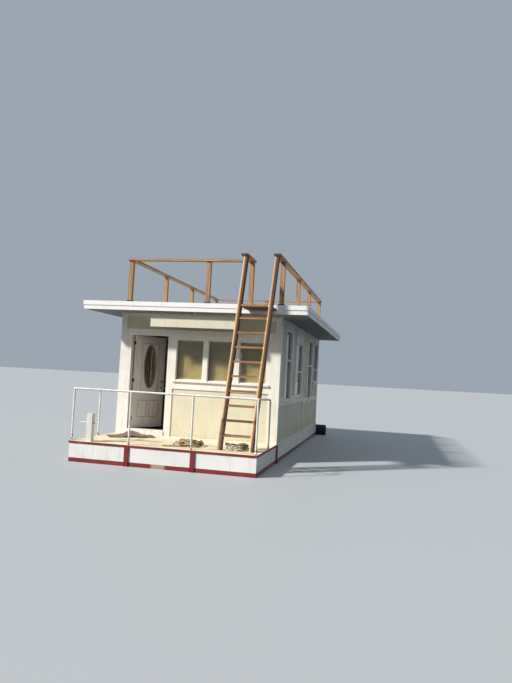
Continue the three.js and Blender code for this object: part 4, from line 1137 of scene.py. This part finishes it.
# %% Places on the door
def on_door(x, z, y):
    """Points given along the slab, up from the waterline and inward from the hinge line, in
    metres."""
    x, z, y = np.broadcast_arrays(x, z, y)
    return HINGE * [1, 1, 0] + x[..., None] * door_x + y[..., None] * door_y + np.stack(
        [0 * z, 0 * z, z + SHIFT[2]], axis=-1)

# %% A moulding along a loop
def planted(loop, section, face, outward):
    """A moulding: each point of the section (across, height) is set off the closed loop (n, 2) by
    across along the loop's own normal, and off the face by height. Returns points and quads."""
    ahead = np.roll(loop, -1, axis=0) - np.roll(loop, 1, axis=0)
    ahead /= np.linalg.norm(ahead, axis=1)[:, None]
    normal = np.stack([ahead[:, 1], -ahead[:, 0]], axis=1)
    flat = loop[:, None, :] + section[None, :, :1] * normal[:, None, :]
    lift = np.broadcast_to(section[None, :, 1], flat.shape[:2])
    points = on_door(flat[..., 0], flat[..., 1], face + outward * lift)
    quads = grid_faces(len(loop), len(section), close_rows=True, close_columns=True)
    return points.reshape(-1, 3), quads if outward < 0 else quads[:, ::-1]

# %% Loops
def oval_loop(x, z, half_wide, half_tall, count=72):
    """An ellipse, anticlockwise."""
    a = np.arange(count) / count * 2 * np.pi
    return np.stack([x + half_wide * np.cos(a), z + half_tall * np.sin(a)], axis=1)


def rounded_loop(x0, x1, z0, z1, top=0.02, bottom=0.006, count=7):
    """A rectangle with round corners, anticlockwise from the lower right."""
    a = np.linspace(0, np.pi / 2, count)
    corners = [(x1, z0, bottom, -np.pi / 2), (x1, z1, top, 0), (x0, z1, top, np.pi / 2),
               (x0, z0, bottom, np.pi)]
    parts = []
    for x, z, r, start in corners:
        cx, cz = x - r if x == x1 else x + r, z - r if z == z1 else z + r
        parts.append(np.stack([cx + r * np.cos(a + start), cz + r * np.sin(a + start)], axis=1))
    return np.concatenate(parts)

# %% Plant the mouldings on both faces
# the half-round's points: across the moulding and up from the face, m
bead = np.array([(-0.011, -0.001), (-0.010, 0.006), (-0.004, 0.010), (0.004, 0.010),
                 (0.010, 0.006), (0.011, -0.001)])
loops = [
    rounded_loop(0.190, 0.660, 1.300, 2.400, top=0.045),        # round the oval
    rounded_loop(0.135, 0.385, 0.740, 1.110),                   # two panels below it
    rounded_loop(0.455, 0.705, 0.740, 1.110),
]
for name, face, outward in (("outer", DOOR_OUT, -1), ("inner", DOOR_IN, 1)):
    points, faces = joined([planted(loop, bead, face, outward) for loop in loops])
    # their darker taupe paint is painted shade
    moulding = make_piece(f"door_moulding_{name}", points, faces, moulding_shade_paint)
    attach(moulding, "cabin_door")
    print(moulding.name, len(faces), "faces")

# %% Ring and brass strips of the oval glass
OVAL_X, OVAL_Z = 0.425, 1.880        # the oval's middle, along the slab and above the waterline
OVAL_HALF_WIDE, OVAL_HALF_TALL = 0.160, 0.482
PANE_OUT = DOOR_OUT + 0.014          # the glass's outer face
ring_bead = bead * [1.7, 1.25]
strip = bead * [0.32, 0.45]
oval_frame = worn_surface("moulded_oval_frame_taupe", "#a3968a", "#85786c", 20.0, 0.5)
brass = worn_surface("brass_strip_dull", "#b59f6c", "#7d6a45", 60.0, 0.35, metallic=1.0)
oval = oval_loop(OVAL_X, OVAL_Z, OVAL_HALF_WIDE, OVAL_HALF_TALL)
rings = make_piece("door_oval_rings", *joined([
    planted(oval, ring_bead, DOOR_OUT, -1), planted(oval, ring_bead, DOOR_IN, 1)]), oval_frame)
# two long leaves that cross, and a ring between them: offset, half width and half height, m
strips = [(-0.030, 0.062, 0.400), (0.030, 0.062, 0.400), (0, 0.050, 0.120)]
leaves = make_piece("door_glass_strips", *joined([
    planted(oval_loop(OVAL_X + x, OVAL_Z, half_wide, half_tall), strip, PANE_OUT, -1)
    for x, half_wide, half_tall in strips]), brass)
for piece in (rings, leaves):
    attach(piece, "cabin_door")
print("oval rings and", len(strips), "strips")

# %% [markdown]
# ## The lock
# Below the knob sits a satin steel rose with a low boss, on both faces. It is a turned part: a
# profile of radius and height carried round an axis.

# %% Turned parts
def turned(profile, centre, axis, side, count=20):
    """A turned part: profile (n, 2) of radius and height carried round the axis, closed at both
    ends by points on the axis."""
    a = np.arange(count) / count * 2 * np.pi
    axis, side = np.asarray(axis, float), np.asarray(side, float)
    other = np.cross(axis, side)
    profile = np.asarray(profile, float)
    ring = (profile[:, None, :1] * (np.cos(a)[:, None] * side + np.sin(a)[:, None] * other)
            + profile[:, None, 1:] * axis)
    points = np.concatenate([(centre + ring).reshape(-1, 3),
                             [centre + axis * profile[0, 1], centre + axis * profile[-1, 1]]])
    return points, capped_faces(len(profile), count)

# %% Lock below the knob
LOCK_X, LOCK_Z = 0.778, 1.400
# radius and height of a rose and its thumb turn, m
rose = [(0.031, 0.0003), (0.031, 0.006), (0.027, 0.011), (0.014, 0.013), (0.013, 0.017),
        (0.004, 0.018)]
lock = make_piece("door_lock", *joined([
    turned(rose, on_door(LOCK_X, LOCK_Z, DOOR_OUT), -door_y, door_x),
    turned(rose, on_door(LOCK_X, LOCK_Z, DOOR_IN), door_y, -door_x)]), satin_steel)
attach(lock, "cabin_door")
print("lock", len(lock.data.polygons), "faces")

# %% [markdown]
# ## Beads round the panes
# The front panes are held by narrow white beads, 16 mm wide, on the outside. Each frame is four
# straight bars of a soft rectangular section, set in the opening on the wall's own plane.

# %% Window beads
BEAD_WIDE, BEAD_CLEAR = 0.016, 0.0005            # m
BEAD_FROM, BEAD_TO = 1978, 1989.6                # y of the beads' two faces, mm


def framed(x0, x1, z0, z1, y0, y1, width):
    """Four bars round a rectangle that stands in the x-z plane, from y0 to y1. The upright ones
    stand between the others."""
    y = (y0 + y1) / 2
    across = soft_rectangle(y1 - y0, width, 0.002, 2)
    return joined([
        bar(across, (x0, y, z0 + width / 2), (x1, y, z0 + width / 2)),
        bar(across, (x0, y, z1 - width / 2), (x1, y, z1 - width / 2)),
        *(bar(across, (x, y, z0 + width), (x, y, z1 - width), up=(1, 0, 0))
          for x in (x0 + width / 2, x1 - width / 2))])


beads = []
for first, last, sill, head in front_windows:
    low, high = at(first, BEAD_FROM, sill), at(last, BEAD_TO, head)
    beads.append(framed(low[0] + BEAD_CLEAR, high[0] - BEAD_CLEAR, low[2] + BEAD_CLEAR,
                        high[2] - BEAD_CLEAR, low[1], high[1], BEAD_WIDE))
window_beads = make_piece("front_window_beads", *joined(beads), trim_paint, smooth=False)
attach(window_beads, "boat")
print("beads round", len(beads), "panes")

# %% [markdown]
# ## Screws and bolts
# Carriage screws hold the treads in the stiles and the caps on the posts, and four bolts hold each
# post's shoe. A head is a low dome of 10 sides. All heads of a kind are one mesh: the dome's
# points are added to every place at once, as arrays.

# %% Screw heads
def heads(places, axis, side, radius, height, count=10):
    """One dome, radius * cos and height * sin over a quarter turn, copied to every place."""
    a = np.linspace(0, np.pi / 2 * 0.9, 4)
    profile = np.stack([radius * np.cos(a), height * np.sin(a)], axis=1)
    points, faces = turned(profile, np.zeros(3), axis, side, count)
    places = np.asarray(places, float)
    moved = places[:, None, :] + points[None]
    numbers = faces[None] + (np.arange(len(places)) * len(points))[:, None, None]
    return moved.reshape(-1, 3), numbers.reshape(-1, 3)

# %% Where the screws are
STILE_Y = {"foot": 435, "head": 785}             # mm from the bow
TREADS = np.linspace(660, 2892, 9)               # heights of the treads, mm
CAP_TOP, SUNK = 4165, 0.4                        # a head's rim is sunk into the wood, mm
POSTS = [(-1410, 1392), (-1410, 3450), (-1410, 5430), (-1410, 7830), (1885, 1392),
         (1885, 3530), (1885, 5480), (1885, 7830), (320, 1392), (240, 7830), (1240, 1392)]


def stile_at(z, side):
    """Where a stile's middle line is at a height z mm: straight from its foot to its head."""
    t = (z - FOOT_Z) / (HEAD_Z - FOOT_Z)
    return (STILE_FOOT[side] + t * (STILE_HEAD[side] - STILE_FOOT[side]),
            STILE_Y["foot"] + t * (STILE_Y["head"] - STILE_Y["foot"]))


left_heads, right_heads = [], []
for heads_on, side, out in ((left_heads, "left", -1), (right_heads, "right", 1)):
    for z in TREADS:
        x, y = stile_at(z, side)
        heads_on += [at(x + out * (STILE_HALF - SUNK), y + off, z) for off in (-38, 38)]
cap_heads = [at(x + dx, y + dy, CAP_TOP - SUNK) for x, y in POSTS
             for dx, dy in ((-24, -20), (24, 20))]
shoe_heads = [at(x + dx, y + dy, ROOF_TOP + SHOE_THICK - SUNK) for x, y in POSTS
              for dx in (-54, 54) for dy in (-54, 54)]
print("posts with screws", len(POSTS))

# %% Set the screws
X, Y, Z = np.eye(3)
screws = make_piece("timber_screws", *joined([
    heads(left_heads, -X, Y, 0.0085, 0.004), heads(right_heads, X, Y, 0.0085, 0.004),
    heads(cap_heads, Z, X, 0.0075, 0.003), heads(shoe_heads, Z, X, 0.007, 0.005)]), zinc_screw)
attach(screws, "boat")
print("screw heads", len(left_heads) + len(right_heads) + len(cap_heads) + len(shoe_heads))

# %% [markdown]
# ## The fender's lines
# The black fender hangs from two short lines. Each goes once round the roll, and up to an eye
# plate on the deck's edge. Both hang taut under the fender's weight, so they are plain pieces.

# %% Round wire on a curve in a plane
def wire(line, outward, side, radius, closed, count=8):
    """Points and triangles of a round wire: radius * cos(b) along outward and radius * sin(b)
    along side, which is square to the line's plane, at each point of the line (n, 3)."""
    b = np.arange(count) / count * 2 * np.pi
    points = (line[:, None, :] + radius * np.cos(b)[None, :, None] * outward[:, None, :]
              + radius * np.sin(b)[None, :, None] * side)
    points = points.reshape(-1, 3)
    if closed:
        quads = grid_faces(len(line), count, close_rows=True, close_columns=True)
        return points, triangles(quads)
    return np.concatenate([points, line[[0, -1]]]), capped_faces(len(line), count)

# %% Fender lines and their eyes
ROLL_Y, ROLL_Z, ROLL_R = at(0, 9085.3, 0)[1], at(0, 0, 130)[2], 0.185
LINE_R = 0.006
LINE_X = (1380, 1740)                            # mm
EYE_Y, RIM_Y, DECK_MM = 8876, 8920, 390          # eye plate, deck's edge and deck, mm
KNOT_BEFORE = 0.045                              # the knot's place before the roll's middle, m
EYE_WIDE, EYE_TALL, EYE_WIRE = 0.013, 0.020, 0.003
KNOT = [(0.001, -0.008), (0.009, -0.006), (0.012, 0), (0.009, 0.006), (0.001, 0.008)]
BEND = [(0.001, -0.007), (0.0065, 0), (0.001, 0.007)]
PLATE = [(0.018, 0.0), (0.018, 0.004), (0.015, 0.005)]
a = np.linspace(0, 2 * np.pi, 49)[:-1]           # round the roll
c = np.linspace(0, np.pi, 13)                    # over an eye
loop_r = ROLL_R + LINE_R
line_parts, eye_parts = [], []
for x in LINE_X:
    eye, rim, plate = at(x, EYE_Y, DECK_MM + 16), at(x, RIM_Y, DECK_MM + 7), at(x, EYE_Y, DECK_MM)
    top = np.array([x / 1000, ROLL_Y - KNOT_BEFORE,
                    ROLL_Z + math.sqrt(loop_r ** 2 - KNOT_BEFORE ** 2)])
    round_roll = np.stack([np.full(len(a), x / 1000), ROLL_Y + loop_r * np.sin(a),
                           ROLL_Z + loop_r * np.cos(a)], axis=1)
    over_eye = np.stack([x / 1000 + EYE_WIDE * np.cos(c), np.full(len(c), eye[1]),
                         DECK + 0.003 + EYE_TALL * np.sin(c)], axis=1)
    line_parts += [
        wire(round_roll, np.stack([0 * a, np.sin(a), np.cos(a)], axis=1), X, LINE_R, True),
        bar(round_section(LINE_R, 8), eye, rim),
        bar(round_section(LINE_R, 8), rim, top, up=(1, 0, 0)),
        turned(KNOT, top, Z, X, 10), turned(BEND, rim, X, Y, 10)]
    eye_parts += [
        turned(PLATE, plate, Z, X, 16),
        wire(over_eye, np.stack([np.cos(c), 0 * c, np.sin(c)], axis=1), Y, EYE_WIRE, False)]
fender_lines = make_piece("fender_lines", *joined(line_parts), black_line)
fender_eyes = make_piece("fender_eye_plates", *joined(eye_parts), satin_steel)
for piece in (fender_lines, fender_eyes):
    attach(piece, "boat")
print("fender lines", len(fender_lines.data.polygons), "faces")

# %% [markdown]
# ## Floor and light
# The floor is a plain pale sheet at the waterline, and hides what a boat afloat hides of its hull.
# The light is soft: a pale surround, and one broad lamp from the front left, about 38 degrees up,
# where the picture has its sun. Little light comes back up under the eaves of a boat afloat, so
# the floor is darker to light that bounces off it than to the eye.

# %% Floor
FLOOR_HALF = 150.0                               # m
floor_material, floor_tree, floor_shader = start_material("studio_floor")
bounce = add(floor_tree, "LightPath")
floor_tone = add(floor_tree, "Mix", {0: bounce.outputs["Is Diffuse Ray"], 6: srgb("#aeb2b4"),
                                     7: srgb("#202427")}, data_type="RGBA")
feed(floor_shader, {"Base Color": floor_tone, "Roughness": 0.6})
floor = make_piece("studio_floor", [(x * FLOOR_HALF, y * FLOOR_HALF, WATER)
                                    for x, y in ((-1, -1), (1, -1), (1, 1), (-1, 1))],
                   [(0, 1, 2, 3)], floor_material, smooth=False)
print("floor at", WATER)

# %% Lamp and surround
SUN_TRAVEL = np.array([1.25, 1.0, -1.257])       # the way that the light goes
key = bpy.data.lights.new("key", "SUN")
key.energy = 4.8
key.angle = math.radians(4.0)
key.color = (1.0, 0.97, 0.925)
key_lamp = bpy.data.objects.new("key", key)
bpy.context.scene.collection.objects.link(key_lamp)
back = -SUN_TRAVEL / np.linalg.norm(SUN_TRAVEL)
aside = np.cross([0.0, 0.0, 1.0], back)
aside /= np.linalg.norm(aside)
over = np.cross(back, aside)
key_lamp.matrix_world = placed(aside, over, back, 10 * back)

world = bpy.data.worlds.new("studio")
bpy.context.scene.world = world
world.use_nodes = True
surround = world.node_tree.nodes["Background"]
feed(surround, {"Color": (0.75, 0.865, 1.0, 1), "Strength": 0.44})
bpy.context.scene.view_settings.view_transform = "Standard"
print("sun", round(math.degrees(math.asin(back[2]))), "degrees up")
